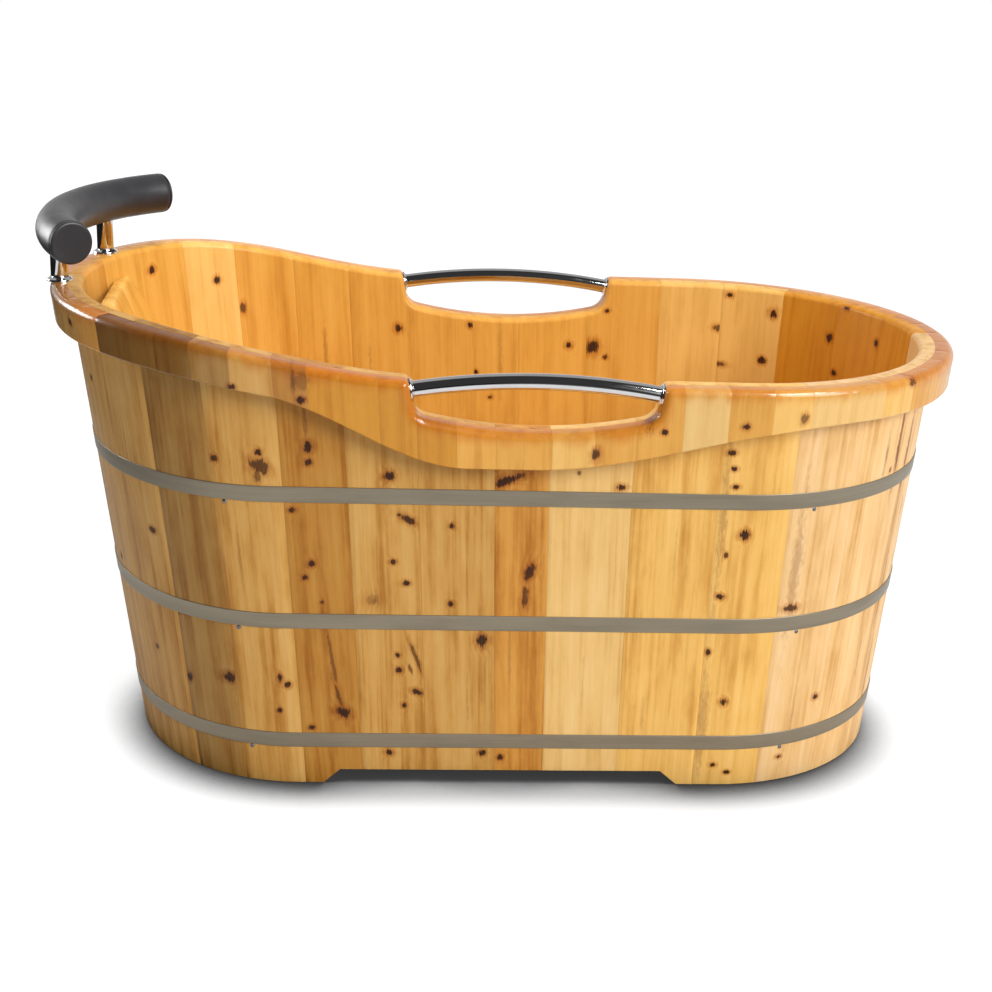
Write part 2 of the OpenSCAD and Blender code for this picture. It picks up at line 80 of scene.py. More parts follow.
class WallSizes(bpy.types.PropertyGroup):
    """The tapered oval that the staves stand on"""
    straight_half: metres("Straight half", "Half length of the straight sides at the floor", 0.343)
    half_width: metres("Half width", "Half width over the staves at the floor", 0.303)
    head_curve: metres("Head curve", "How far the head end curves out", 0.285)
    foot_curve: metres("Foot curve", "How far the foot end curves out", 0.320)
    side_flare: metres("Side flare", "Outward lean of each long side, up to the foot rim", 0.047)
    straight_flare: metres("Straight flare", "Growth of the straight half length", 0.023)
    head_lean: metres("Head lean", "Shift of the oval towards the head end", 0.028)
    foot_height: metres("Foot height", "Height of the rim round the foot end", 0.706)
    share_height: metres("Share height", "Height at which the stave widths are shared out", 0.2985)
    shift: metres("Shift", "Place of the oval's middle along the frame", 0.0195309)
    stave_t: metres("Stave thickness", "Thickness of the staves", 0.025)
    inner_round: metres("Inner rounding", "Rounding of the inner top edge", 0.008)
    stave_widths: bpy.props.FloatVectorProperty(
        name="Stave widths", description="Widths of one side's staves, from the head to the foot",
        size=16, unit="LENGTH",
        default=(.100, .100, .100, .099, .108, .097, .107, .115,
                 .083, .126, .133, .113, .113, .113, .112, .112))
    croze: metres("Croze", "Depth of the groove that holds the floor", 0.008)
    arch_h: metres("Arch height", "Height of the arch between the feet", 0.025)
    arch_half: metres("Arch half length", "Half length of the arch at its top", 0.264)
    arch_back: metres("Arch place", "Place of the arch's middle towards the head", 0.012)
    arch_ramp: metres("Arch ramp", "Length of the slant at each end of the arch", 0.028)


class RimSizes(bpy.types.PropertyGroup):
    """The blocks round the staves' heads"""
    head_height: metres("Head height", "Height of the rim round the head end", 0.770)
    rise_start: metres("Rise start", "Where the rim starts to rise towards the head", 0.120)
    rise_end: metres("Rise end", "Where the rim has reached its head height", 0.660)
    rim_t: metres("Rim thickness", "Thickness of the blocks outside the staves", 0.030)
    rim_round: metres("Rim rounding", "Rounding of the outer top edge", 0.012)
    apron_depth: metres("Apron depth", "Depth of the blocks at the two ends", 0.057)
    apron_dip: metres("Apron dip", "How much deeper the blocks dip under the handles", 0.077)
    dip_level: metres("Dip level", "Length of the level stretch of the dip", 0.090)
    dip_head_run: metres("Dip head run", "Run of the dip towards the head", 0.310)
    dip_foot_run: metres("Dip foot run", "Run of the dip towards the foot", 0.500)
    lip: metres("Lip", "Rounding of the lower outer edge", 0.003)


class HandleSizes(bpy.types.PropertyGroup):
    """The grab handles and the notches that they stand in"""
    handle_x: metres("Place", "Place of the handles towards the foot", 0.010)
    handle_half: metres("Half length", "Half length of a handle between its cheeks", 0.189)
    handle_rise: metres("Rise", "Rise of the bent tube from its ends to its middle", 0.0165)
    handle_over: metres("Over the rim", "Height of the tube's middle over the foot rim", 0.0005)
    tube_d: metres("Tube diameter", "Diameter of the tube", 0.025)
    notch_depth: metres("Notch depth", "Depth of the notch below the foot rim", 0.076)
    notch_dish: metres("Notch dish", "Radius of the dished bottom", 0.750)
    notch_corner: metres("Notch corner", "Radius of the two lower corners", 0.030)
    cheek_round: metres("Cheek rounding", "Rounding of the two upper corners", 0.010)
    flange_d: metres("Flange diameter", "Diameter of the flange at each end", 0.036)
    flange_t: metres("Flange thickness", "Thickness of that flange", 0.005)


class HoopSizes(bpy.types.PropertyGroup):
    """The steel hoops and the nails that stop them from slipping"""
    strip_w: metres("Strip width", "Width of the steel strip", 0.026)
    strip_t: metres("Strip thickness", "Thickness of the steel strip", 0.0015)
    heights: bpy.props.FloatVectorProperty(
        name="Heights", description="Heights of the hoops' middles", size=3, unit="LENGTH",
        default=(0.515, 0.2985, 0.082))
    nail_d: metres("Nail diameter", "Diameter of the nail heads", 0.007)
    shank_d: metres("Shank diameter", "Diameter of the nails' shanks", 0.0028)
    nail_len: metres("Nail length", "Length of the shanks in the wood", 0.015)


class FloorSizes(bpy.types.PropertyGroup):
    """The floor boards and their battens"""
    base_z: metres("Floor height", "Height of the boards' underside", 0.060)
    base_t: metres("Board thickness", "Thickness of the floor boards", 0.025)
    tongue: metres("Tongue", "Length of the tongues between the boards", 0.008)
    slip: metres("Slip", "Gap between pieces that slide together", 0.0003)
    wall_gap: metres("Wall gap", "Gap along the curved wall", 0.001)
    batten_w: metres("Batten width", "Width of the battens under the floor", 0.060)
    batten_h: metres("Batten height", "Height of those battens", 0.028)
    batten_step: metres("Batten step", "Distance of the outer battens from the middle one", 0.290)


class BackrestSizes(bpy.types.PropertyGroup):
    """The leaning board inside the head end"""
    drop: metres("Drop", "Height of its top edge under the head rim", 0.039)
    top_x: metres("Top place", "Place of its top edge towards the head", 0.660)
    lean: turn("Lean", "Lean back from upright", 25)
    plank_t: metres("Plank thickness", "Thickness of the planks", 0.018)
    plank_half: metres("Plank half width", "Half width of the middle plank", 0.075)
    batten_w: metres("Batten width", "Width of the two battens behind", 0.040)
    batten_t: metres("Batten thickness", "Thickness of those battens", 0.016)


class HeadrestSizes(bpy.types.PropertyGroup):
    """The foam roll on its bent bar and two posts"""
    bend: metres("Bend", "Radius of the bend of the padded bar", 0.345)
    pad_angle: turn("Pad angle", "Half of the angle that the roll covers", 40)
    pad_d: metres("Roll diameter", "Diameter of the foam roll", 0.068)
    pad_over: metres("Roll height", "Height of the roll's middle over the rim", 0.087)
    pad_turn: turn("Turn", "How far it is mounted round towards the far side", 11)
    pad_round: metres("End rounding", "Rounding of the roll's ends", 0.007)
    post_angle: turn("Post angle", "Half of the angle between the two posts", 18.5)
    post_d: metres("Post diameter", "Diameter of the posts", 0.028)
    bar_d: metres("Bar diameter", "Diameter of the bar inside the foam", 0.020)
    flange_d: metres("Flange diameter", "Diameter of the posts' flanges", 0.042)
    flange_t: metres("Flange thickness", "Thickness of those flanges", 0.006)


class DrainSizes(bpy.types.PropertyGroup):
    """The floor drain with its lift-up stopper"""
    drain_x: metres("Place", "Place of the drain towards the foot", 0.470)
    body_r: metres("Body radius", "Outer radius of the threaded body", 0.024)
    body_wall: metres("Body wall", "Wall of the body", 0.004)
    flange_r: metres("Flange radius", "Radius of the flange on the floor", 0.036)
    flange_t: metres("Flange thickness", "Thickness of the flange", 0.003)
    gasket_t: metres("Gasket thickness", "Thickness of the gasket", 0.002)
    tail_r: metres("Tail radius", "Outer radius of the tail for the waste pipe", 0.020)
    tail_z: metres("Tail height", "Height of the tail's lower end", 0.014)
    nut_flats: metres("Nut width", "Width of the nut over its flats", 0.062)
    nut_h: metres("Nut height", "Height of the nut", 0.010)
    stopper_r: metres("Stopper radius", "Radius of the stopper's cap", 0.031)
    stem_r: metres("Stem radius", "Radius of the stopper's stem", 0.004)
    lift: metres("Lift", "How far the stopper lifts", 0.008)


class FinishColours(bpy.types.PropertyGroup):
    """Colours of the woods, metals, foam and rubber, as they are written in the materials"""
    pale: colour("Pale wood", "Sapwood, the lightest boards", (0.75, 0.465, 0.158))
    peach: colour("Peach wood", "Light boards with a pink cast", (0.76, 0.47, 0.195))
    golden: colour("Golden wood", "Boards with a yellow cast", (0.76, 0.43, 0.108))
    honey: colour("Honey wood", "Boards of the middle tone", (0.68, 0.33, 0.055))
    amber: colour("Amber wood", "Heartwood with an orange cast", (0.6, 0.272, 0.047))
    # Dull wood is the head end boards' own browner tone with painted shade in it, where the light falls off
    # towards the head
    dull: colour("Dull wood", "Shaded boards, brown and less bright", (0.52, 0.270, 0.062))
    olive: colour("Olive wood", "Dull brown heartwood", (0.33, 0.168, 0.037))
    russet: colour("Russet wood", "One darker, redder board of the near side", (0.42, 0.185, 0.028))
    toffee: colour("Toffee wood", "The deep golden boards inside the foot end", (0.66, 0.27, 0.019))
    brown: colour("Brown wood", "The darkest blocks of the rim", (0.2, 0.088, 0.013))
    resin: colour("Resin wood", "The oiled amber blocks of the rim", (0.56, 0.235, 0.018))
    knot: colour("Knots", "The core of a knot", (0.030, 0.010, 0.004))
    steel: colour("Hoop steel", "The steel strip of the hoops", (0.31, 0.266, 0.192))
    nail: colour("Nail steel", "The nail heads", (0.22, 0.25, 0.29))
    chrome: colour("Chrome", "Handles, headrest and drain", (0.74, 0.74, 0.74))
    foam: colour("Foam", "The skin of the headrest's foam roll", (0.017, 0.016, 0.018))
    rubber: colour("Rubber", "Gasket and seal", (0.025, 0.025, 0.025))


class StageSettings(bpy.types.PropertyGroup):
    """Camera and light"""
    camera_place: bpy.props.FloatVectorProperty(
        name="Camera place", description="Where the camera stands", size=3, unit="LENGTH",
        default=(-0.2192, -2.8551, 1.4348))
    camera_down: turn("Camera down", "How far the camera looks down", 19.945)
    camera_right: turn("Camera right", "How far it looks to the right of straight ahead", 4.435)
    camera_roll: turn("Camera roll", "How far it is rolled", 2.532)
    lens: bpy.props.FloatProperty(name="Lens", description="Focal length in millimetres", default=63.58)
    floor_colour: colour("Floor", "The plain pale floor", (0.86, 0.87, 0.885))


GROUPS = {
    "tub_wall": WallSizes, "tub_rim": RimSizes, "tub_handles": HandleSizes, "tub_hoops": HoopSizes,
    "tub_floor": FloorSizes, "tub_backrest": BackrestSizes, "tub_headrest": HeadrestSizes,
    "tub_drain": DrainSizes, "tub_colours": FinishColours, "tub_stage": StageSettings,
}


# ---------------------------------------------------------------------------------------------
# The oval, and the rim's line on the side view

HALF_UP = 0.35  # a height about half way up the wall, where lengths along it are measured
EDGE = [1 - math.sin(math.radians(a)) for a in (90, 78, 66, 54, 42, 30, 18, 6, 0)]  # rows of a rounding


def ease(share):
    """A smooth rise from 0 to 1."""
    return (1 - np.cos(np.pi * np.clip(share, 0, 1))) / 2


def rounding(depth, radius):
    """How far a rounded edge falls back at a distance from its corner."""
    d = np.minimum(depth, radius)
    return radius - np.sqrt(np.maximum(radius ** 2 - (radius - d) ** 2, 0))


def arc(middle, radius, start, end, count):
    """Points on an arc of the side view."""
    return [np.add(middle, (radius * math.cos(a), radius * math.sin(a)))
            for a in np.linspace(start, end, count)]


class Wall:
    """Where each numbered line up the wall stands"""

    def __init__(self, sizes):
        self.sizes = s = sizes
        self.head_ratio = s.head_curve / s.half_width
        self.foot_ratio = s.foot_curve / s.half_width
        girth = self.width(s.share_height)
        self.head_len = math.pi / 4 * (self.head_ratio + 1) * girth
        self.side_len = 2 * self.end(s.share_height)
        self.foot_len = math.pi / 4 * (self.foot_ratio + 1) * girth
        marks = np.cumsum([0, *s.stave_widths])
        marks *= (self.head_len + self.side_len + self.foot_len) / marks[-1]
        near = [self.line_at(m) for m in marks]
        self.seams = near + [6 - line for line in near[-2::-1]]

    def width(self, z, off=0.0):
        """Half width of the oval at a height."""
        return self.sizes.half_width + self.sizes.side_flare * z / self.sizes.foot_height + off

    def end(self, z):
        """Half length of its straight sides."""
        return self.sizes.straight_half + self.sizes.straight_flare * z / self.sizes.foot_height

    def middle(self, z):
        """Place of its middle along the tub."""
        return -self.sizes.head_lean * z / self.sizes.foot_height

    def line_at(self, girth):
        """The line at a length along the girth of the near side, from the middle of the head."""
        if girth < self.head_len:
            return girth / self.head_len
        if girth < self.head_len + self.side_len:
            return 1 + (girth - self.head_len) / self.side_len
        return 2 + (girth - self.head_len - self.side_len) / self.foot_len

    def at(self, line, off, z):
        """Points of the wall, off metres outside the staves' outer face."""
        line, off, z = np.broadcast_arrays(np.asarray(line, float) % 6, off, z)
        near = np.where(line <= 3, line, 6 - line)
        width, end, middle = self.width(z, off), self.end(z), self.middle(z)
        head, foot = near < 1, near >= 2
        angle = np.where(head, near, 3 - near) * math.pi / 2
        x = middle + (2 * near - 3) * end
        x = np.where(head, middle - end - self.head_ratio * width * np.cos(angle), x)
        x = np.where(foot, middle + end + self.foot_ratio * width * np.cos(angle), x)
        y = width * np.where(head | foot, np.sin(angle), 1)
        return np.stack([x + self.sizes.shift, np.where(line <= 3, -y, y), z + 0 * y], -1)

    def side_x(self, line, z):
        """Place along the tub of a line, from the middle of the floor's oval."""
        return self.at(line, 0, z)[..., 0] - self.sizes.shift

    def side_line(self, x, z):
        """The line of the near side at a place along the tub."""
        return 1.5 + (x - self.middle(z)) / (2 * self.end(z))

    def steps(self, low, high, length):
        """Evenly spaced lines from low to high, about length apart along the wall."""
        p = self.at(np.linspace(low, high, 9), 0, HALF_UP)
        count = max(2, math.ceil(np.linalg.norm(np.diff(p, axis=0), axis=1).sum() / length))
        return np.linspace(low, high, count + 1)

    def inside(self, x, z, off):
        """Half width of the oval at a place along the tub, for flat pieces that fill it."""
        width, end, x = self.width(z, off), self.end(z), np.asarray(x, float) - self.middle(z)
        over = np.where(x < 0, (-x - end) / self.head_ratio, (x - end) / self.foot_ratio) / width
        return width * np.sqrt(np.clip(1 - np.clip(over, 0, 1) ** 2, 0, 1))


class RimLine:
    """The rim's top on the side view, with the notch cut in it, and its lower edge"""

    def __init__(self, wall, rim, grip):
        self.wall, self.rim, self.grip = wall, rim, grip
        half, rise = grip.handle_half, grip.handle_rise
        self.bend = (half ** 2 + rise ** 2) / (2 * rise)
        self.turn = math.asin(half / self.bend)
        self.tube_z = wall.sizes.foot_height + grip.handle_over
        self.bend_z = self.tube_z - self.bend
        self.tube_y = wall.width(self.tube_z, (rim.rim_t - wall.sizes.stave_t) / 2)
        head, foot = self.half_notch(-1), self.half_notch(1)
        notch = [(grip.handle_x - u, z) for u, z in head[:0:-1]] + [(grip.handle_x + u, z) for u, z in foot]

        def led_on(points, away):
            """The points, with the rim at some distances from the notch before and after them."""
            before, after = notch[0][0] - away[::-1], notch[-1][0] + away
            return [(x, self.rise(x)) for x in before] + points + [(x, self.rise(x)) for x in after]

        dense = led_on(notch, np.linspace(0.0012, 0.018, 11))
        self.dense, self.whole = np.array(dense), np.array(led_on(dense, np.linspace(0.02, 0.16, 15)))
        x, z = self.dense.T
        self.dense_lines = wall.side_line(x, z)

    def rise(self, x):
        """Height of the rim without its notch, at a place along the tub."""
        low = self.wall.sizes.foot_height
        start, end = self.rim.rise_start, self.rim.rise_end
        return low + (self.rim.head_height - low) * ease((-x - start) / (end - start))

    def half_notch(self, side):
        """From the middle of the dish out to the rim: the dish, a corner, the cheek and its rounded top."""
        g, foot_height = self.grip, self.wall.sizes.foot_height
        dish_z = foot_height - g.notch_depth + g.notch_dish
        gap, reach = dish_z - self.bend_z, g.notch_dish - g.notch_corner
        out = gap * math.cos(self.turn) - math.sqrt(
            reach ** 2 - (g.notch_corner - gap * math.sin(self.turn)) ** 2)
        along = np.array([math.sin(self.turn), math.cos(self.turn)])
        square = np.array([-math.cos(self.turn), math.sin(self.turn)])
        corner = np.array([0, self.bend_z]) + out * along + g.notch_corner * square
        start = math.atan2(corner[1] - dish_z, corner[0])
        points = arc((0, dish_z), g.notch_dish, -math.pi / 2, start, 17)
        points += arc(corner, g.notch_corner, start, -self.turn, 15)[1:]
        z = self.rise(g.handle_x + side * g.handle_half)
        top = np.array([(z - self.bend_z) * math.tan(self.turn), z])
        run = 0.02
        slope = (self.rise(g.handle_x + side * (top[0] + run)) - z) / run
        away = np.array([1, slope]) / math.hypot(1, slope)
        half = math.acos(float(-away @ along)) / 2
        middle = top + (away - along) / np.linalg.norm(away - along) * g.cheek_round / math.sin(half)
        back = g.cheek_round / math.tan(half)
        low, high = top - along * back, top + away * back
        points += list(np.linspace(points[-1], low, 9)[1:])
        a, b = math.atan2(*(low - middle)[::-1]), math.atan2(*(high - middle)[::-1])
        b = b - 2 * math.pi if b - a > math.pi else b
        a = a if abs(a - b) < math.pi else a - 2 * math.pi * np.sign(a - b)
        points += arc(middle, g.cheek_round, a, b, 9)[1:]
        return [tuple(p) for p in points]

    def top(self, line):
        """Height at which each line ends at the top."""
        near = np.where(np.asarray(line) % 6 <= 3, np.asarray(line) % 6, 6 - np.asarray(line) % 6)
        z = np.full(near.shape, self.wall.sizes.foot_height)
        for _ in range(12):
            z = self.rise(self.wall.side_x(near, z))
        low, high = self.dense_lines[0], self.dense_lines[-1]
        return np.where((near > low) & (near < high), np.interp(near, self.dense_lines, self.dense[:, 1]), z)

    def low(self, line):
        """Lower edge of the rim's blocks."""
        x, r = self.wall.side_x(line, self.wall.sizes.foot_height), self.rim
        dip = np.where(x < -r.dip_level, ease((-r.dip_level - x) / r.dip_head_run), ease(x / r.dip_foot_run))
        return self.rise(x) - r.apron_depth - r.apron_dip * (1 - dip)

    def depth(self, line, z):
        """Distance of points on the side view from the rim's line."""
        x, z = np.broadcast_arrays(self.wall.side_x(line, z), z)
        plain = np.maximum(self.top(line) - z, 0)
        first, last = self.whole[0, 0] + 0.05, self.whole[-1, 0] - 0.05
        if x.min() > last or x.max() < first:
            return plain
        p = np.stack([x, z], -1)[..., None, :]
        a, d = self.whole[:-1], np.diff(self.whole, axis=0)
        t = np.clip(((p - a) * d).sum(-1) / (d ** 2).sum(-1), 0, 1)
        near = np.linalg.norm(p - a - t[..., None] * d, axis=-1).min(-1)
        return np.where((x > first) & (x < last), near, plain)

    def lines(self, low, high, length):
        """Lines from low to high, close together round the notch and about length apart elsewhere."""
        far = (low + high) / 2 > 3
        a, b = (6 - high, 6 - low) if far else (low, high)
        dense = self.dense_lines[(self.dense_lines > a + 1e-4) & (self.dense_lines < b - 1e-4)]
        parts = [dense] if len(dense) else [self.wall.steps(a, b, length)]
        if len(dense):
            if self.dense_lines[0] > a:
                parts.insert(0, self.wall.steps(a, self.dense_lines[0], length)[:-1])
            if self.dense_lines[-1] < b:
                parts.append(self.wall.steps(self.dense_lines[-1], b, length)[1:])
            parts = [[a]] + parts + [[b]]
        lines = np.unique(np.round(np.concatenate(parts), 7))
        return 6 - lines[::-1] if far else lines


# ---------------------------------------------------------------------------------------------
# Meshes

SHARP = 38  # degrees between two faces, from which their edge is shaded sharp
AWAY = 0.2  # a distance from the rim's line that means nowhere near an edge
KNOT_SLOTS = ("knot_a", "knot_b", "knot_c")  # the three nearest knots of each face
NO_KNOT = 99.0  # how far away the knot of an empty slot is, in half widths of a knot


def fill(layer, field, values):
    """Give every point or corner its value in one layer of a mesh."""
    layer.data.foreach_set(field, np.ascontiguousarray(values, np.float32).ravel())


def placed(name, data):
    """A new object in the scene."""
    item = bpy.data.objects.new(name, data)
    bpy.context.scene.collection.objects.link(item)
    return item


def welded(mesh, distance):
    """Join the points of a mesh that lie on one another."""
    edit = bmesh.new()
    edit.from_mesh(mesh)
    bmesh.ops.remove_doubles(edit, verts=edit.verts, dist=distance)
    bmesh.ops.dissolve_degenerate(edit, edges=edit.edges, dist=distance)
    edit.to_mesh(mesh)
    edit.free()


class Shape:
    """Collects lofted solids into one mesh"""

    def __init__(self):
        self.points, self.faces, self.count = [], [], 0

    def loft(self, rings, closed=False, place=None):
        """A solid through a row of closed rings. Returns the places of its points in the mesh."""
        rings = np.asarray(rings, float)
        rows, n = rings.shape[:2]
        flat = rings.reshape(-1, 3)
        if place is not None:
            m = np.array(place)
            flat = flat @ m[:3, :3].T + m[:3, 3]
        i, k = np.meshgrid(np.arange(rows if closed else rows - 1), np.arange(n), indexing="ij")
        i, k = i.ravel(), k.ravel()
        j, l = (i + 1) % rows, (k + 1) % n
        quads = np.stack([i * n + k, i * n + l, j * n + l, j * n + k], -1)
        a, b, c, d = (flat[quads[:, q]] for q in range(4))
        volume = (np.cross(a, b) * c).sum() + (np.cross(a, c) * d).sum()
        faces = quads.tolist()
        if not closed:
            first, last = list(range(n - 1, -1, -1)), list(range((rows - 1) * n, rows * n))
            for cap in (first, last):
                p = flat[cap]
                volume += (np.cross(p[:1], p[1:-1]) * p[2:]).sum()
            faces += [first, last]
        if volume < 0:
            faces = [f[::-1] for f in faces]
        start = self.count
        self.faces += [[q + start for q in f] for f in faces]
        self.points.append(flat)
        self.count += len(flat)
        return flat

    def lathe(self, profile, steps=48, place=None):
        """A solid turned round Z from a closed profile of (radius, height)."""
        profile = np.asarray(profile, float)
        angles = np.linspace(0, 2 * math.pi, steps, endpoint=False)
        rings = [np.stack([profile[:, 0] * math.cos(a), profile[:, 0] * math.sin(a), profile[:, 1]], -1)
                 for a in angles]
        return self.loft(rings, closed=True, place=place)

    def mesh(self, name):
        """The solids so far as one mesh."""
        mesh = bpy.data.meshes.new(name)
        mesh.from_pydata(np.concatenate(self.points).tolist(), [], self.faces)
        return mesh

    def object(self, name, material, body, replaces, slot, sharp=SHARP, weld=False):
        """One dressed piece on its body, in the place of its nodes. Its slot is not used."""
        mesh = self.mesh(name)
        if weld:
            welded(mesh, 2e-6)
        mesh.materials.append(material)
        self.attributes(mesh)
        mesh.polygons.foreach_set("use_smooth", [True] * len(mesh.polygons))
        mesh.set_sharp_from_angle(angle=math.radians(sharp))
        piece = placed(name, mesh)
        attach(piece, body)
        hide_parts(*replaces)
        return piece

    def attributes(self, mesh):
        """Plain shapes carry none."""


class Board:
    """One sawn board: its middle, its directions, its log, its tone and strength of figure, and its knots"""

    def __init__(self, middle, across, along, seed, tone, knots=()):
        *tone, self.figure = tone
        self.middle = np.array(middle, float)
        along = np.array(along, float) / np.linalg.norm(along)
        across = np.array(across, float) - along * (np.array(across) @ along)
        across /= np.linalg.norm(across)
        self.axes = np.stack([across, np.cross(across, along), along])
        chance = random.Random(seed)
        self.pith = (chance.uniform(-0.07, 0.07), chance.choice((-1, 1)) * chance.uniform(0.035, 0.15))
        self.lean = (chance.uniform(-0.008, 0.008), chance.uniform(-0.016, 0.016))
        self.start = chance.uniform(0, 40)
        shade = chance.uniform(0.965, 1.035)
        self.tone = [min(1, c * shade) for c in tone]
        self.knots = knots

    def local(self, points):
        """Points from the board's middle, in its own directions."""
        return (points - self.middle) @ self.axes.T

    def log(self, points):
        """Place in the log: across and through it from its pith, and along it."""
        q = self.local(points)
        q[:, 0] -= self.pith[0] + self.lean[0] * q[:, 2]
        q[:, 1] -= self.pith[1] + self.lean[1] * q[:, 2]
        q[:, 2] += self.start
        return q


class Boards(Shape):
    """A mesh of boards, with what the wood finish reads: place in the log, tone, edge and knots"""

    def __init__(self):
        super().__init__()
        self.log, self.tone, self.edge, self.owners, self.owner = [], [], [], [], []

    def board(self, board, rings, edge=None, calm=1.0):
        """Add a board from its rings, with each point's distance from an edge and calmness of figure."""
        faces = len(self.faces)
        flat = self.loft(rings)
        self.log.append(board.log(flat))
        figure = np.ravel(board.figure * calm + np.zeros(np.shape(rings)[:2]))
        self.tone.append(np.column_stack([np.tile(board.tone, (len(flat), 1)), figure]))
        self.edge.append(np.full(len(flat), AWAY) if edge is None else np.asarray(edge, float).ravel())
        self.owner += [len(self.owners)] * (len(self.faces) - faces)
        self.owners.append(board)

    def attributes(self, mesh):
        """The layers that the wood finish reads. Each face has the three knots of its board nearest to it."""
        fill(mesh.attributes.new("log", "FLOAT_VECTOR", "POINT"), "vector", np.concatenate(self.log))
        fill(mesh.attributes.new("tone", "FLOAT_COLOR", "POINT"), "color", np.concatenate(self.tone))
        fill(mesh.attributes.new("edge", "FLOAT", "POINT"), "value", np.concatenate(self.edge))
        points = np.concatenate(self.points)
        corner_point = np.zeros(len(mesh.loops), np.int32)
        mesh.loops.foreach_get("vertex_index", corner_point)
        starts = np.zeros(len(mesh.polygons), np.int32)
        totals = np.zeros(len(mesh.polygons), np.int32)
        mesh.polygons.foreach_get("loop_start", starts)
        mesh.polygons.foreach_get("loop_total", totals)
        owner = np.repeat(np.array(self.owner), totals)
        face = np.repeat(np.arange(len(totals)), totals)
        slots = np.full((len(KNOT_SLOTS), len(corner_point), 3), NO_KNOT)
        slots[:, :, 2] = 0
        for n, board in enumerate(self.owners):
            if not board.knots:
                continue
            mine = np.nonzero(owner == n)[0]
            q = board.local(points[corner_point[mine]])[:, [0, 2]]
            which = face[mine] - face[mine][0]
            middle = np.stack([np.bincount(which, q[:, d]) for d in (0, 1)], -1) / np.bincount(which)[:, None]
            k = np.array([(*knot, 0)[:6] for knot in board.knots])

            def apart(at, knot):
                d, a = at - knot[..., :2], np.radians(knot[..., 5])
                turned = np.stack([d[..., 0] * np.cos(a) + d[..., 1] * np.sin(a),
                                   d[..., 1] * np.cos(a) - d[..., 0] * np.sin(a)], -1)
                return turned / knot[..., 2:4]

            away = np.linalg.norm(apart(middle[:, None], k[None]), axis=-1)
            order = np.argsort(away, axis=1)[:, :len(KNOT_SLOTS)]
            for s in range(order.shape[1]):
                pick = k[order[which, s]]
                slots[s, mine, :2] = np.clip(apart(q, pick), -NO_KNOT, NO_KNOT)
                slots[s, mine, 2] = pick[:, 4]
        for name, values in zip(KNOT_SLOTS, slots):
            fill(mesh.attributes.new(name, "FLOAT_VECTOR", "CORNER"), "vector", values)


# ---------------------------------------------------------------------------------------------
# Finishes

class Nodes:
    """The nodes of a material or of the world, put down and joined one by one"""

    def __init__(self, owner):
        owner.use_nodes = True
        self.nodes, self.links = owner.node_tree.nodes, owner.node_tree.links

    def put(self, socket, value):
        if isinstance(value, bpy.types.NodeSocket):
            self.links.new(value, socket)
        else:
            socket.default_value = value

    def node(self, kind, values=(), **settings):
        node = self.nodes.new("ShaderNode" + kind)
        for name, value in settings.items():
            setattr(node, name, value)
        for name, value in dict(values).items():
            self.put(node.inputs[name], value)
        return node

    def sum(self, operation, a, b=0.0, c=None, clamp=False):
        values = {0: a, 1: b} if c is None else {0: a, 1: b, 2: c}
        return self.node("Math", values, operation=operation, use_clamp=clamp).outputs[0]

    def length(self, a, b):
        """Length of a vector from its two parts."""
        return self.sum("SQRT", self.sum("ADD", self.sum("MULTIPLY", a, a), self.sum("MULTIPLY", b, b)))

    def vector(self, operation, a, b):
        return self.node("VectorMath", {0: a, 1: b}, operation=operation).outputs[0]

    def read(self, name, output="Vector"):
        """A layer of the mesh."""
        return self.node("Attribute", attribute_name=name).outputs[output]

    def split(self, vector):
        """The three parts of a vector."""
        return self.node("SeparateXYZ", {0: vector}).outputs

    def noise(self, vector, scale, detail=2.0, roughness=0.5):
        """Noise of one scale, or with a scale for each direction."""
        stretched = self.vector("MULTIPLY", vector, scale) if isinstance(scale, tuple) else vector
        return self.node("TexNoise", {
            "Vector": stretched, "Scale": 1.0 if isinstance(scale, tuple) else scale,
            "Detail": detail, "Roughness": roughness}).outputs["Fac"]

    def span(self, value, low, high, to_low=0.0, to_high=1.0, smooth=True):
        """The value, carried over from one range into another."""
        node = self.node("MapRange", {
            "Value": value, "From Min": low, "From Max": high, "To Min": to_low, "To Max": to_high})
        node.interpolation_type = "SMOOTHSTEP" if smooth else "LINEAR"
        return node.outputs["Result"]

    def mix(self, share, a, b, blend="MIX"):
        node = self.node("Mix", data_type="RGBA", blend_type=blend, clamp_factor=True)
        for socket, value in (("Factor_Float", share), ("A_Color", a), ("B_Color", b)):
            target = next(s for s in node.inputs if s.identifier == socket)
            self.put(target, (*value, 1.0) if isinstance(value, tuple) and len(value) == 3 else value)
        return next(s for s in node.outputs if s.identifier == "Result_Color")


class Finish(Nodes):
    """A material in the making: one Principled shader, and the nodes that feed it"""

    def __init__(self, name, **constants):
        self.material = bpy.data.materials.new(name)
        super().__init__(self.material)
        self.shader = self.nodes["Principled BSDF"]
        for socket, value in constants.items():
            self.shader.inputs[socket.replace("_", " ")].default_value = value

    def feed(self, socket, value):
        self.put(self.shader.inputs[socket], value)

    def bump(self, height, distance, strength=1.0):
        self.feed("Normal", self.node("Bump", {
            "Height": height, "Distance": distance, "Strength": strength}).outputs["Normal"])


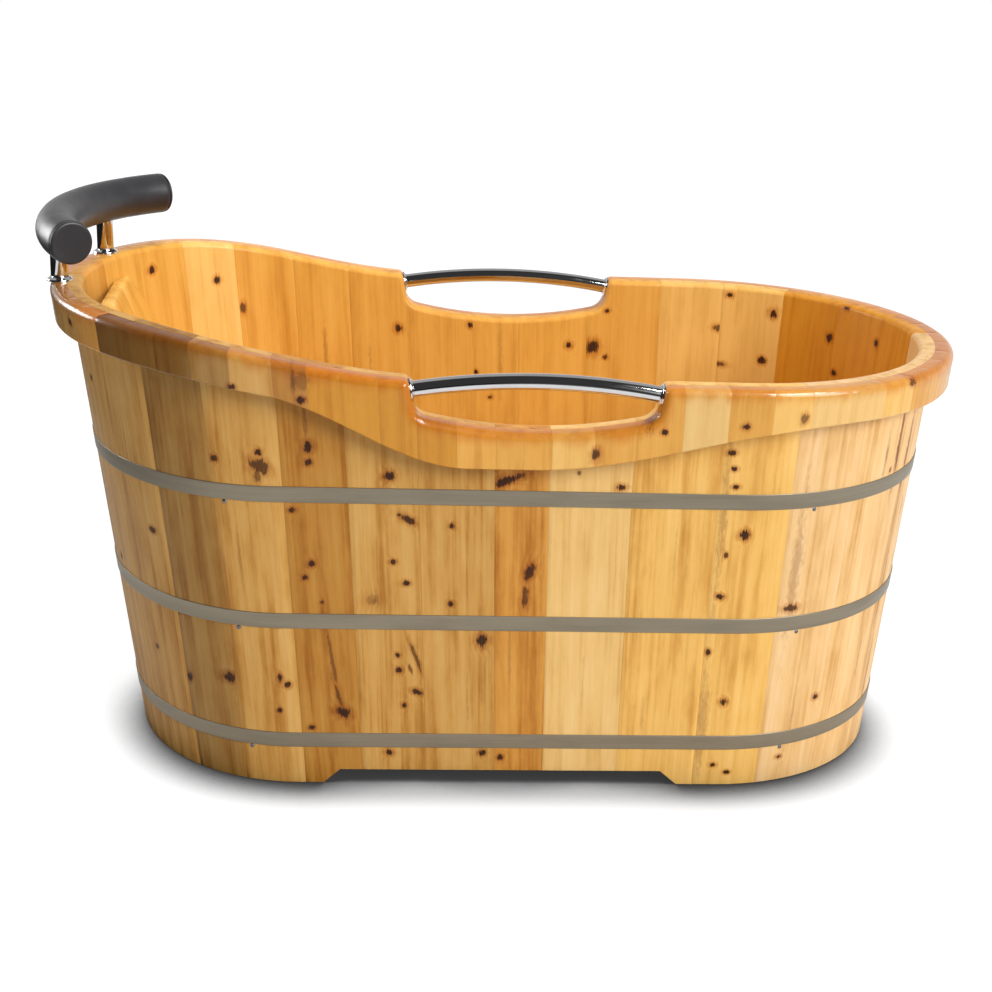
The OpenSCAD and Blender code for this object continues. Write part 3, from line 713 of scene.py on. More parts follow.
def wood(name, knot_colour, gloss, edge_tint=0.0, edge_shade=(0.84, 0.57, 0.26), edge_width=0.026,
         coat=0.2, coat_roughness=0.25):
    """Knotty cedar: growth rings of the log, streaks and fibres along it, and knots that bend them.

    The noises' scales are across, through and along the log, in waves to the metre.
    """
    f = Finish(name, Coat_Roughness=coat_roughness, Specular_IOR_Level=0.15)
    log, tone, edge = f.read("log"), f.read("tone", "Color"), f.read("edge", "Fac")
    figure = f.read("tone", "Alpha")
    across, through, _ = f.split(log)
    wobble = f.noise(log, (45.0, 45.0, 22.0), 2.0)
    ragged = f.noise(log, (330.0, 330.0, 75.0), 3.0, 0.65)
    ragged = f.sum("ADD", f.sum("MULTIPLY_ADD", wobble, 1.5, -0.75), f.sum("MULTIPLY_ADD", ragged, 2.2, -1.1))
    core = halo = streak_and_painted_shade = bend = 0.0
    for slot in KNOT_SLOTS:
        u, v, strength = f.split(f.read(slot))
        reach = f.length(u, v)
        shape = f.sum("ADD", reach, ragged)
        real, soft = f.sum("MAXIMUM", strength, 0.0), f.sum("MAXIMUM", f.sum("MULTIPLY", strength, -1.0), 0.0)
        core = f.sum("MAXIMUM", core, f.sum("MULTIPLY", f.span(shape, 0.70, 1.25, 1.0, 0.0), real))
        halo = f.sum("MAXIMUM", halo, f.sum("MULTIPLY", f.span(shape, 0.8, 2.5, 1.0, 0.0), real))
        streak_and_painted_shade = f.sum("MAXIMUM", streak_and_painted_shade, f.sum("MULTIPLY", f.span(shape, 0.1, 1.3, 1.0, 0.0), soft))
        bend = f.sum("ADD", bend, f.sum("MULTIPLY", f.span(reach, 0.0, 3.4, 1.0, 0.0), real))
    radius = f.length(across, through)
    slow = f.noise(log, (14.0, 14.0, 2.2), 2.0)
    radius = f.sum("ADD", radius, f.sum("MULTIPLY", slow, 0.016))
    radius = f.sum("ADD", radius, f.sum("MULTIPLY", bend, 0.011))
    ring_gap = 0.0062
    rings = f.sum("SINE", f.sum("MULTIPLY", radius, 2 * math.pi / ring_gap))
    rings = f.sum("POWER", f.sum("MULTIPLY_ADD", rings, 0.5, 0.5), 2.5)
    bands = f.noise(log, (52.0, 52.0, 1.1), 3.0, 0.55)
    blotches = f.noise(log, (30.0, 30.0, 8.5), 4.0, 0.6)
    streaks = f.noise(log, (210.0, 210.0, 4.5), 3.0, 0.6)
    fibres = f.noise(log, (620.0, 620.0, 11.0), 3.0, 0.6)
    dark = f.sum("MULTIPLY_ADD", bands, 2.0, -1.0)
    dark = f.sum("ADD", dark, f.sum("MULTIPLY_ADD", blotches, 1.5, -0.75))
    dark = f.sum("ADD", dark, f.sum("MULTIPLY_ADD", streaks, 0.55, -0.275))
    dark = f.sum("ADD", dark, f.sum("MULTIPLY_ADD", rings, 0.13, -0.04))
    dark = f.sum("MULTIPLY_ADD", dark, figure, 0.5, clamp=True)
    pale = f.mix(1.0, tone, (1.10, 1.22, 1.55), "MULTIPLY")
    deep = f.mix(1.0, tone, (0.70, 0.56, 0.34), "MULTIPLY")
    surface = f.mix(f.span(dark, 0.0, 0.5, smooth=False), pale, tone)
    surface = f.mix(f.span(dark, 0.5, 1.0, smooth=False), surface, deep)
    surface = f.mix(f.sum("MULTIPLY", f.span(fibres, 0.45, 0.75, 0.0, 0.30), figure), surface,
                    f.mix(1.0, surface, (0.74, 0.60, 0.44), "MULTIPLY"))
    # Near an edge the colour is multiplied by edge_shade: the rim's end grain soaks up the finish and
    # darkens, and the backrest's pale edge_shade is a painted highlight along its top edge
    if edge_tint:
        near_edge = f.sum("ADD", edge, f.sum("MULTIPLY", f.sum("SUBTRACT", blotches, 0.5), 2 * edge_width))
        soak_and_painted_highlight = f.span(near_edge, 0.0, edge_width, edge_tint, 0.0)
        surface = f.mix(soak_and_painted_highlight, surface, f.mix(1.0, surface, edge_shade, "MULTIPLY"))
    surface = f.mix(f.sum("MULTIPLY", halo, 0.8), surface,
                    f.mix(1.0, surface, (0.66, 0.40, 0.20), "MULTIPLY"))
    # Soft dark marks: resin streaks, and on rim 11 painted shade at the near notch's cheek
    surface = f.mix(streak_and_painted_shade, surface, f.mix(1.0, surface, (0.30, 0.15, 0.07), "MULTIPLY"))
    speck = f.noise(log, (260.0, 260.0, 90.0), 2.0)
    heart = f.mix(f.span(speck, 0.45, 0.70), tuple(knot_colour), tuple(2.0 * c for c in knot_colour))
    surface = f.mix(f.sum("MULTIPLY", core, 0.97), surface, heart)
    f.feed("Base Color", surface)
    f.feed("Coat Weight", f.sum("MULTIPLY_ADD", core, -0.8 * coat, coat))
    f.feed("Roughness", f.sum("MULTIPLY_ADD", fibres, 0.16, gloss - 0.08))
    height = f.sum("ADD", f.sum("MULTIPLY", fibres, -0.6), f.sum("MULTIPLY", core, -0.7))
    f.bump(f.sum("ADD", height, f.sum("MULTIPLY", rings, -0.25)), 0.00022, 0.6)
    return f.material


def strip_steel(name, colour, roughness):
    """Rolled steel strip with fine scratches along it."""
    f = Finish(name, Metallic=0.75)
    strip = f.read("strip")
    scratches = f.noise(strip, (3.0, 1800.0, 1.0), 4.0, 0.6)
    clouds = f.noise(strip, (7.0, 60.0, 1.0), 3.0)
    base = f.mix(f.span(scratches, 0.35, 0.65), tuple(c * 0.84 for c in colour), tuple(colour))
    f.feed("Base Color", f.mix(f.span(clouds, 0.40, 0.70, 0.0, 0.5), base, tuple(c * 0.72 for c in colour)))
    f.feed("Roughness", f.sum("MULTIPLY_ADD", clouds, 0.22, roughness - 0.11))
    f.bump(scratches, 0.00003, 0.5)
    return f.material


def plain_steel(name, colour, roughness):
    """Turned steel: fine tool marks and a little tarnish."""
    f = Finish(name, Metallic=1.0)
    place = f.node("TexCoord").outputs["Object"]
    tarnish = f.noise(place, 160.0, 3.0)
    f.feed("Base Color", f.mix(f.span(tarnish, 0.35, 0.7), tuple(colour), tuple(c * 0.7 for c in colour)))
    f.feed("Roughness", f.sum("MULTIPLY_ADD", tarnish, 0.2, roughness - 0.1))
    f.bump(f.noise(place, 1900.0, 2.0), 0.00003, 0.4)
    return f.material


def chromed(name, colour, roughness):
    """Polished chrome with faint wiping marks and a few dull spots."""
    f = Finish(name, Metallic=1.0)
    place = f.node("TexCoord").outputs["Object"]
    wiping = f.noise(place, (22.0, 22.0, 140.0), 3.0)
    spots = f.noise(place, 420.0, 2.0)
    f.feed("Base Color", f.mix(f.span(wiping, 0.4, 0.7), tuple(colour), tuple(c * 0.93 for c in colour)))
    f.feed("Roughness", f.sum("ADD", f.span(wiping, 0.35, 0.75, roughness * 0.7, roughness * 1.4),
                              f.span(spots, 0.68, 0.8, 0.0, 0.05)))
    return f.material


def skinned_foam(name, colour):
    """Moulded polyurethane foam: a satin skin with a fine grain."""
    f = Finish(name, Specular_IOR_Level=0.5)
    place = f.node("TexCoord").outputs["Object"]
    grain = f.node("TexVoronoi", {"Vector": place, "Scale": 900.0}, feature="DISTANCE_TO_EDGE")
    cloud = f.noise(place, 26.0, 3.0)
    f.feed("Base Color", f.mix(f.span(cloud, 0.35, 0.7), tuple(colour), tuple(c * 1.35 for c in colour)))
    f.feed("Roughness", f.sum("MULTIPLY_ADD", cloud, 0.14, 0.30))
    f.bump(f.span(grain.outputs["Distance"], 0.0, 0.25), 0.00009, 0.6)
    return f.material


def rubber(name, colour):
    """Black rubber with a dry bloom."""
    f = Finish(name, Specular_IOR_Level=0.4)
    place = f.node("TexCoord").outputs["Object"]
    bloom = f.noise(place, 90.0, 4.0)
    f.feed("Base Color", f.mix(f.span(bloom, 0.45, 0.75), tuple(colour), tuple(c * 1.8 for c in colour)))
    f.feed("Roughness", f.sum("MULTIPLY_ADD", bloom, 0.2, 0.55))
    f.bump(f.noise(place, 1200.0, 2.0), 0.00005, 0.5)
    return f.material


def finish_once(name, make, *values, **settings):
    """The named material, made the first time that a piece asks for it."""
    return bpy.data.materials.get(name) or make(name, *values, **settings)


# ---------------------------------------------------------------------------------------------
# Choices one by one: the tone of each board, and where its knots are

TONES = {"p": "pale", "c": "peach", "g": "golden", "h": "honey", "a": "amber", "d": "dull",
         "o": "olive", "r": "russet", "t": "toffee", "b": "brown", "m": "resin"}
FIGURES = {"p": 0.55, "c": 0.7, "g": 0.75, "h": 0.85}  # the lighter boards are the calmer ones
# The dull boards (d) at the head end of the staves and rim carry painted shade as well as their own tone
STAVE_TONES = "dddo" "drdd" "apgg" "cccc" "tttg" "ghhh" "hhhh" "ghha"
RIM_TONES = "ddddabbbodrmmmmhhhghhphgppghhhaa" "aahhgghhgghhhhgghhgghhgghhgghhhh"

# Each knot: share of the stave's width, height, half width and half height in mm, how dark, and its
# turn in degrees where it lies aslant. A minus sign makes a soft dark streak of it: resin, but on rim 11
# it is painted shade at the near notch's right cheek.
STAVE_KNOTS = {
    2: [(.5, 640, 4, 4, 1), (.4, 330, 4, 5, 1)],
    3: [(.70, 420, 6, 5, .9), (.35, 560, 2, 30, -.5), (.3, 200, 4, 4, .8)],
    4: [(.05, 290, 7, 6, 1), (.05, 170, 5, 7, 1), (.92, 187, 11, 8, 1), (.4, 480, 2, 60, -.35)],
    5: [(.73, 583, 5, 5, 1), (.73, 560, 14, 9, .85, -35), (.70, 545, 5, 10, .6), (.08, 568, 5, 5, .9),
        (.81, 291, 4, 4, 1), (.75, 195, 4, 7, 1), (.87, 183, 5, 5, 1), (.69, 136, 4, 4, 1),
        (.30, 400, 3, 50, -.3)],
    6: [(.44, 593, 7, 8, 1), (.43, 569, 5, 5, 1), (.12, 489, 5, 4, 1), (.37, 398, 5, 5, 1),
        (.25, 375, 4, 4, 1), (.49, 332, 3, 3, .9), (.60, 225, 3, 45, .55, 6), (.66, 165, 3, 30, .7, 12),
        (.72, 134, 12, 8, 1, -20), (.17, 105, 5, 4, 1), (.42, 640, 4, 42, -.6)],
    7: [(.59, 548, 7, 7, 1), (.85, 476, 15, 5, .95, -30), (.72, 484, 4, 3, .9), (.60, 404, 5, 4, 1),
        (.78, 367, 5, 4, 1), (.26, 337, 11, 10, .32), (.30, 335, 4, 4, .5), (.62, 239, 4, 4, 1),
        (.63, 212, 5, 5, 1), (.88, 240, 3, 24, .75, 18), (.80, 215, 3, 12, -.9, 18),
        (.90, 172, 9, 5, 1, -25), (.69, 148, 4, 4, 1), (.43, 59, 6, 5, 1)],
    8: [(.43, 467, 4, 4, 1), (.40, 332, 4, 4, 1), (.83, 268, 9, 10, 1), (.83, 59, 6, 5, 1),
        (.62, 150, 2, 60, -.3)],
    9: [(.24, 545, 20, 7, 1, 22), (.45, 553, 6, 5, .8), (.67, 390, 7, 14, .95, -20),
        (.58, 341, 5, 16, .8), (.13, 51, 5, 5, 1), (.3, 220, 3, 80, -.35)],
    10: [(.88, 536, 7, 5, 1), (.35, 560, 3, 4, .7), (.5, 180, 2, 60, -.25)],
    11: [(.55, 420, 3, 70, -.22), (.3, 130, 3, 50, -.3)],
    12: [(.11, 597, 6, 4, 1), (.15, 571, 5, 4, 1), (.19, 541, 5, 4, 1), (.36, 459, 7, 7, 1),
         (.15, 424, 3, 4, .9), (.13, 351, 7, 5, 1), (.05, 251, 4, 5, 1), (.30, 159, 6, 6, 1),
         (.24, 39, 5, 4, 1), (.49, 25, 5, 3, 1), (.08, 480, 7, 170, -.45), (.06, 120, 9, 110, -.42)],
    13: [(.20, 326, 12, 6, .9), (.36, 45, 5, 4, 1), (.9, 149, 6, 5, 1), (.2, 400, 10, 160, -.45),
         (.5, 130, 3, 70, -.3)],
    14: [(.75, 537, 3, 4, .7), (.58, 560, 4, 60, -.75), (.88, 575, 6, 85, -1.0), (.85, 200, 3, 60, -.5)],
    15: [(.25, 560, 5, 95, -.95), (.55, 430, 4, 60, -.7), (.3, 300, 4, 70, -.7), (.4, 140, 5, 80, -.7)],
    16: [(.5, 350, 4, 4, .9), (.3, 600, 3, 50, -.5)],
    17: [(.6, 610, 5, 5, 1), (.3, 300, 4, 4, 1)],
    18: [(.91, 578, 5, 5, 1), (.84, 700, 5, 4, 1), (.08, 656, 5, 6, 1), (.5, 400, 4, 4, 1)],
    19: [(.09, 639, 6, 7, 1), (.6, 470, 3, 60, -.4), (.5, 250, 5, 5, 1)],
    20: [(.96, 557, 12, 5, .8), (.88, 689, 6, 5, 1), (.15, 663, 8, 8, 1), (.25, 574, 6, 6, 1)],
    21: [(.03, 626, 9, 6, .8), (.5, 300, 5, 5, 1)],
    22: [(.92, 582, 10, 11, 1), (.73, 563, 4, 4, .9), (.73, 651, 5, 4, 1), (.4, 350, 4, 80, -.4)],
    23: [(.25, 584, 6, 6, 1), (.7, 420, 5, 5, 1)],
    24: [(.94, 529, 4, 4, 1), (.63, 481, 4, 4, .9), (.4, 560, 5, 70, -.35)],
    25: [(.05, 618, 5, 5, 1), (.6, 300, 6, 5, 1)],
    26: [(.20, 609, 7, 7, 1), (.7, 500, 4, 90, -.35)],
    27: [(.5, 560, 4, 80, -.45), (.3, 330, 5, 5, 1)],
    28: [(.94, 642, 5, 9, .8), (.4, 500, 4, 4, .9)],
    29: [(.39, 696, 6, 6, 1), (.6, 420, 5, 5, 1)],
    30: [(.72, 730, 7, 6, 1), (.3, 500, 4, 4, 1)],
    31: [(.5, 600, 5, 5, 1), (.4, 250, 5, 5, 1)],
    32: [(.4, 480, 5, 5, 1), (.7, 690, 4, 4, 1)],
}
RIM_KNOTS = {
    2: [(.80, 742, 5, 5, 1)],
    5: [(.06, 692, 5, 5, 1), (.52, 695, 5, 4, 1)],
    6: [(.40, 678, 6, 5, 1), (.30, 710, 4, 30, -.6), (.42, 706, 12, 12, .35)],
    10: [(.50, 600, 6, 9, .9)],
    # Rim 11's soft dark mark is painted shade on the near notch's right cheek, which faces away from the
    # light
    11: [(.29, 639, 4, 4, 1), (.13, 662, 11, 28, -.8)],
    12: [(.19, 650, 6, 5, 1), (.90, 662, 5, 8, .7)],
    14: [(.46, 699, 7, 5, .8)],
    19: [(.4, 690, 6, 5, 1)],
    24: [(.5, 610, 5, 5, 1)],
    30: [(.5, 740, 5, 5, 1)],
}


def tones(context, letters):
    """Colour and strength of figure for each board."""
    colours = context.scene.tub_colours
    return [(*getattr(colours, TONES[c]), FIGURES.get(c, 1.0)) for c in letters]


def on_board(wall, board, low, high, knots, off):
    """Knots given by share and height, in the board's own directions."""
    rows = []
    for share, height, wide, tall, dark, *aslant in knots:
        q = board.local(wall.at(np.array([low + share * (high - low)]), off, height / 1000))[0]
        rows.append((q[0], q[2], wide / 1000, tall / 1000, dark, *aslant))
    return rows


class Upright:
    """A board that stands between two lines of the wall, as rows of points from its foot over its head"""

    def __init__(self, wall, lines, low, high, gap, width, depth):
        """The board ends a hair's gap from each seam, where a fine groove of some width and depth runs."""
        self.wall, self.low, self.high, self.rows = wall, low, high, []
        close = [low + gap, low + width, high - width, high - gap]
        self.lines = np.sort(np.concatenate([close, lines[1:-1]]))
        self.groove = np.zeros(len(self.lines))
        self.groove[[0, -1]] = depth

    def row(self, off, z, depth=AWAY):
        """Points on every line, at an offset, a height and a distance from the rim's line."""
        self.rows.append([value + 0 * self.lines for value in (off, z, depth)])

    def build(self, pieces, off, z, seed, tone, knots, calm):
        """Loft the board, its middle at an offset and a height, and its figure calmed outside and inside."""
        mid, aside, wall = (self.low + self.high) / 2, 0.01, self.wall
        across = wall.at(mid + aside, 0, z) - wall.at(mid - aside, 0, z)
        board = Board(wall.at(mid, off, z), across, wall.at(mid, 0, 2 * z) - wall.at(mid, 0, 0), seed, tone)
        board.knots = on_board(wall, board, *knots)
        offs, heights, depth = (np.stack(column, 1) for column in zip(*self.rows))
        calm = np.where(offs < off, calm[1], calm[0])
        pieces.board(board, wall.at(self.lines[:, None], offs, heights), depth, calm)


class TUB_OT_staves(bpy.types.Operator):
    """Build the thirty-two staves of the wall, each with its rounded head, croze and foot"""
    bl_idname = "tub.staves"
    bl_label = "Staves"

    def execute(self, context):
        scene = context.scene
        w, floor = scene.tub_wall, scene.tub_floor
        wall = Wall(w)
        line = RimLine(wall, scene.tub_rim, scene.tub_handles)
        material = finish_once("cedar_staves", wood, scene.tub_colours.knot, 0.44, coat=0.1)
        colours = tones(context, STAVE_TONES)
        for k, (low, high) in enumerate(zip(wall.seams, wall.seams[1:])):
            pieces = Boards()
            self.stave(pieces, wall, line, w, floor, k, low, high, colours[k])
            pieces.object(f"stave_wood_{k + 1:02d}", material, "tub", [f"stave_{k + 1:02d}"], "stave_wood")
        return {"FINISHED"}

    def stave(self, pieces, wall, line, w, floor, k, low, high, tone):
        """One stave: up its outside, over its head, down its inside with the croze, and along its foot."""
        lines = line.lines(low, high, length=0.011)
        ramp_end = w.arch_half + w.arch_ramp
        arch_x = np.array([-ramp_end, -w.arch_half, w.arch_half, ramp_end]) - w.arch_back
        marks = wall.side_line(arch_x, w.arch_h / 2)
        marks = np.concatenate([marks, 6 - marks])
        lines = np.sort(np.concatenate([lines, marks[(marks > low) & (marks < high)]]))
        hair = 0.00006 / (wall.side_len if 1 < low % 6 < 2 or 4 < low % 6 < 5 else wall.head_len)
        up = Upright(wall, lines, low, high, hair, 9 * hair, 0.0003)
        lines, groove = up.lines, up.groove
        top = line.top(lines) - groove
        foot_x = wall.side_x(np.where(lines > 3, 6 - lines, lines), w.arch_h / 2)
        foot = np.interp(foot_x, arch_x, (0, w.arch_h, w.arch_h, 0))
        bevel, t = 0.0015, w.stave_t
        up.row(-bevel - groove, foot)
        for share in np.linspace(0, 1, 29):
            z = foot + bevel + (top - foot - bevel) * share
            up.row(-groove, z, line.depth(lines, z))
        up.row(-t / 2 + 0.002, top, 0)
        up.row(-t + w.inner_round, top, 0)
        down = [w.inner_round * e for e in EDGE[1:]] + [.011, .015, .020, .026, .033, .041, .050, .061, .075]
        for s in down:
            depth = line.depth(lines, top - s)
            up.row(-t + rounding(depth, w.inner_round) + groove, top - s, depth)
        last, croze_top = top - down[-1], floor.base_z + floor.base_t + floor.slip
        for share in np.linspace(0, 1, 19)[1:]:
            up.row(-t + groove, last + (croze_top - last) * share)
        up.row(w.croze - t, croze_top)
        up.row(w.croze - t, floor.base_z)
        up.row(-t + groove, floor.base_z)
        up.row(-t + groove, foot + bevel)
        up.row(-t + bevel + groove, foot)
        knots = low, high, STAVE_KNOTS.get(k + 1, ()), 0 if k < 16 else -t
        up.build(pieces, -t / 2, HALF_UP, 100 + k, tone, knots, (1.0, 0.55))


class TUB_OT_rim(bpy.types.Operator):
    """Build the rim of glued strips round the heads of the staves, in its four groups"""
    bl_idname = "tub.rim"
    bl_label = "Rim"

    def execute(self, context):
        scene = context.scene
        wall = Wall(scene.tub_wall)
        line = RimLine(wall, scene.tub_rim, scene.tub_handles)
        material = finish_once("cedar_rim", wood, scene.tub_colours.knot, 0.36,
                               edge_tint=0.9, coat=0.5, coat_roughness=0.10)
        colours = tones(context, RIM_TONES)
        halves = []
        for k, (a, b) in enumerate(zip(wall.seams, wall.seams[1:])):
            halves += [(a, (a + b) / 2, k), ((a + b) / 2, b, k)]
        groups = {"rim_head": range(-9, 9), "rim_near": range(9, 23), "rim_foot": range(23, 41),
                  "rim_far": range(41, 55)}
        for name, members in groups.items():
            pieces = Boards()
            for n in members:
                a, b, k = halves[n % 64]
                self.strip(pieces, wall, line, a, b, k, n % 64, colours[n % 64])
            pieces.object(f"{name}_wood", material, "tub", [name], "rim_wood")
        return {"FINISHED"}

    def strip(self, pieces, wall, line, low, high, k, n, tone):
        """One strip of the rim: under it, round its lower edge, up its outside and over its top."""
        r = line.rim
        lines = line.lines(low, high, length=0.010)
        hair = 0.00005 / wall.head_len
        up = Upright(wall, lines, low, high, hair, 7 * hair, 0.00006)
        lines, groove = up.lines, up.groove
        top, foot, below = line.top(lines) - groove, line.low(lines), 0.05
        up.row(0.0, foot, below)
        up.row(r.rim_t - r.lip - 0.002, foot, below)
        for e in EDGE[1:]:
            up.row(r.rim_t - rounding(r.lip * e + 0 * lines, r.lip) - groove, foot + r.lip * e, below)
        shelf = foot + r.lip
        down = [r.rim_round * e for e in EDGE[1:]] + [.015, .019, .024, .030]
        up_to = top - down[-1]
        heights = [shelf + (up_to - shelf) * share for share in np.linspace(0, 1, 7)[1:-1]]
        for z in heights + [top - s for s in down[::-1]]:
            depth = line.depth(lines, z)
            up.row(r.rim_t - rounding(depth, r.rim_round) - groove, z, depth)
        up.row(r.rim_t - r.rim_round, top, 0)
        up.row(0.004, top, 0)
        up.row(0.0001, top - 0.0002, 0)
        knots = wall.seams[k], wall.seams[k + 1], RIM_KNOTS.get(k + 1, ()), r.rim_t
        up.build(pieces, r.rim_t / 2, 2 * HALF_UP, 300 + n, tone, knots, (0.6, 0.6))


class StripShape(Shape):
    """A strip's mesh, with the length along it and the height across it for the rolled finish"""

    def attributes(self, mesh):
        points = np.concatenate(self.points)
        angle = np.arctan2(points[:, 1], points[:, 0]) * 0.5
        values = np.stack([angle, points[:, 2], 0 * angle], -1)
        fill(mesh.attributes.new("strip", "FLOAT_VECTOR", "POINT"), "vector", values)


class TUB_OT_hoops(bpy.types.Operator):
    """Build the three steel hoops, with the rolled edges of strip"""
    bl_idname = "tub.hoops"
    bl_label = "Hoops"

    def execute(self, context):
        scene = context.scene
        wall, h = Wall(scene.tub_wall), scene.tub_hoops
        material = finish_once("rolled_strip", strip_steel, scene.tub_colours.steel, 0.42)
        lines = np.concatenate([wall.steps(a, a + 1, length=0.008)[:-1] for a in range(6)])
        t, half, gap, edge = h.strip_t, h.strip_w / 2, 0.00002, 0.0005
        upper = [(t, half - 3 * edge), (t, half - edge), (t - 0.3 * edge, half - 0.3 * edge),
                 (t - edge, half), (gap, half)]
        section = [(off, -up) for off, up in upper[::-1]] + [(t, 0)] + upper
        for z, name in zip(h.heights, ("hoop_upper", "hoop_middle", "hoop_lower")):
            off, height = np.array(section).T + [[0], [z]]
            hoop = StripShape()
            hoop.loft(wall.at(lines[:, None], off[None], height[None]), closed=True)
            hoop.object(f"{name}_strip", material, "tub", [name], "hoop_steel", sharp=50)
        return {"FINISHED"}


class TUB_OT_nails(bpy.types.Operator):
    """Drive the domed nails under the hoops, where the long sides meet the curved ends"""
    bl_idname = "tub.nails"
    bl_label = "Hoop nails"

    def execute(self, context):
        scene = context.scene
        wall, h = Wall(scene.tub_wall), scene.tub_hoops
        material = finish_once("turned_nails", plain_steel, scene.tub_colours.nail, 0.34)
        r, s = h.nail_d / 2, h.shank_d / 2
        profile = [(0, -h.nail_len), (s * 0.3, -h.nail_len + 0.0006), (s, -h.nail_len + 0.002), (s, 0.0001),
                   (r, 0.0001), (r, 0.0003), (r * 0.93, 0.0007), (r * 0.72, 0.0011), (r * 0.40, 0.0014),
                   (0, 0.0015)]
        nails, clear = Shape(), 0.0003
        for z in h.heights:
            for line in (0.84, 2.22, 3.78, 5.16):  # just beyond the ends of the long sides
                height = z - (h.strip_w + h.nail_d) / 2 - clear
                at, out = wall.at(line, 0, height), wall.at(line, 0.01, height)
                turned = Vector(out - at).to_track_quat("Z", "Y").to_matrix().to_4x4()
                nails.lathe(profile, 24, Matrix.Translation(Vector(at)) @ turned)
        nails.object("hoop_nail_heads", material, "tub", ["hoop_nails"], "nail_steel", weld=True)
        return {"FINISHED"}


def chamfered(low_a, high_a, low_b, high_b, c):
    """A rectangle with cut corners."""
    return [(low_a + c, low_b), (high_a - c, low_b), (high_a, low_b + c), (high_a, high_b - c),
            (high_a - c, high_b), (low_a + c, high_b), (low_a, high_b - c), (low_a, low_b + c)]


def ring_section(hole, outer, low, high, under, over):
    """Half section of a ring, with its outer corners cut below and above."""
    return [(hole, low), (outer - under, low), (outer, low + under),
            (outer, high - over), (outer - over, high), (hole, high)]


def flange_section(hole, outer, thick, steps, ease_out, ease_in):
    """Half section of a flange: out along its foot, back over its steps, and eased at the bar in it."""
    section = [(hole, 0), (outer, 0), (outer, thick * 0.30)]
    section += [(outer - back, thick * share) for back, share in steps]
    return section + [(hole + ease_out, thick), (hole, thick - math.copysign(ease_in, thick))]


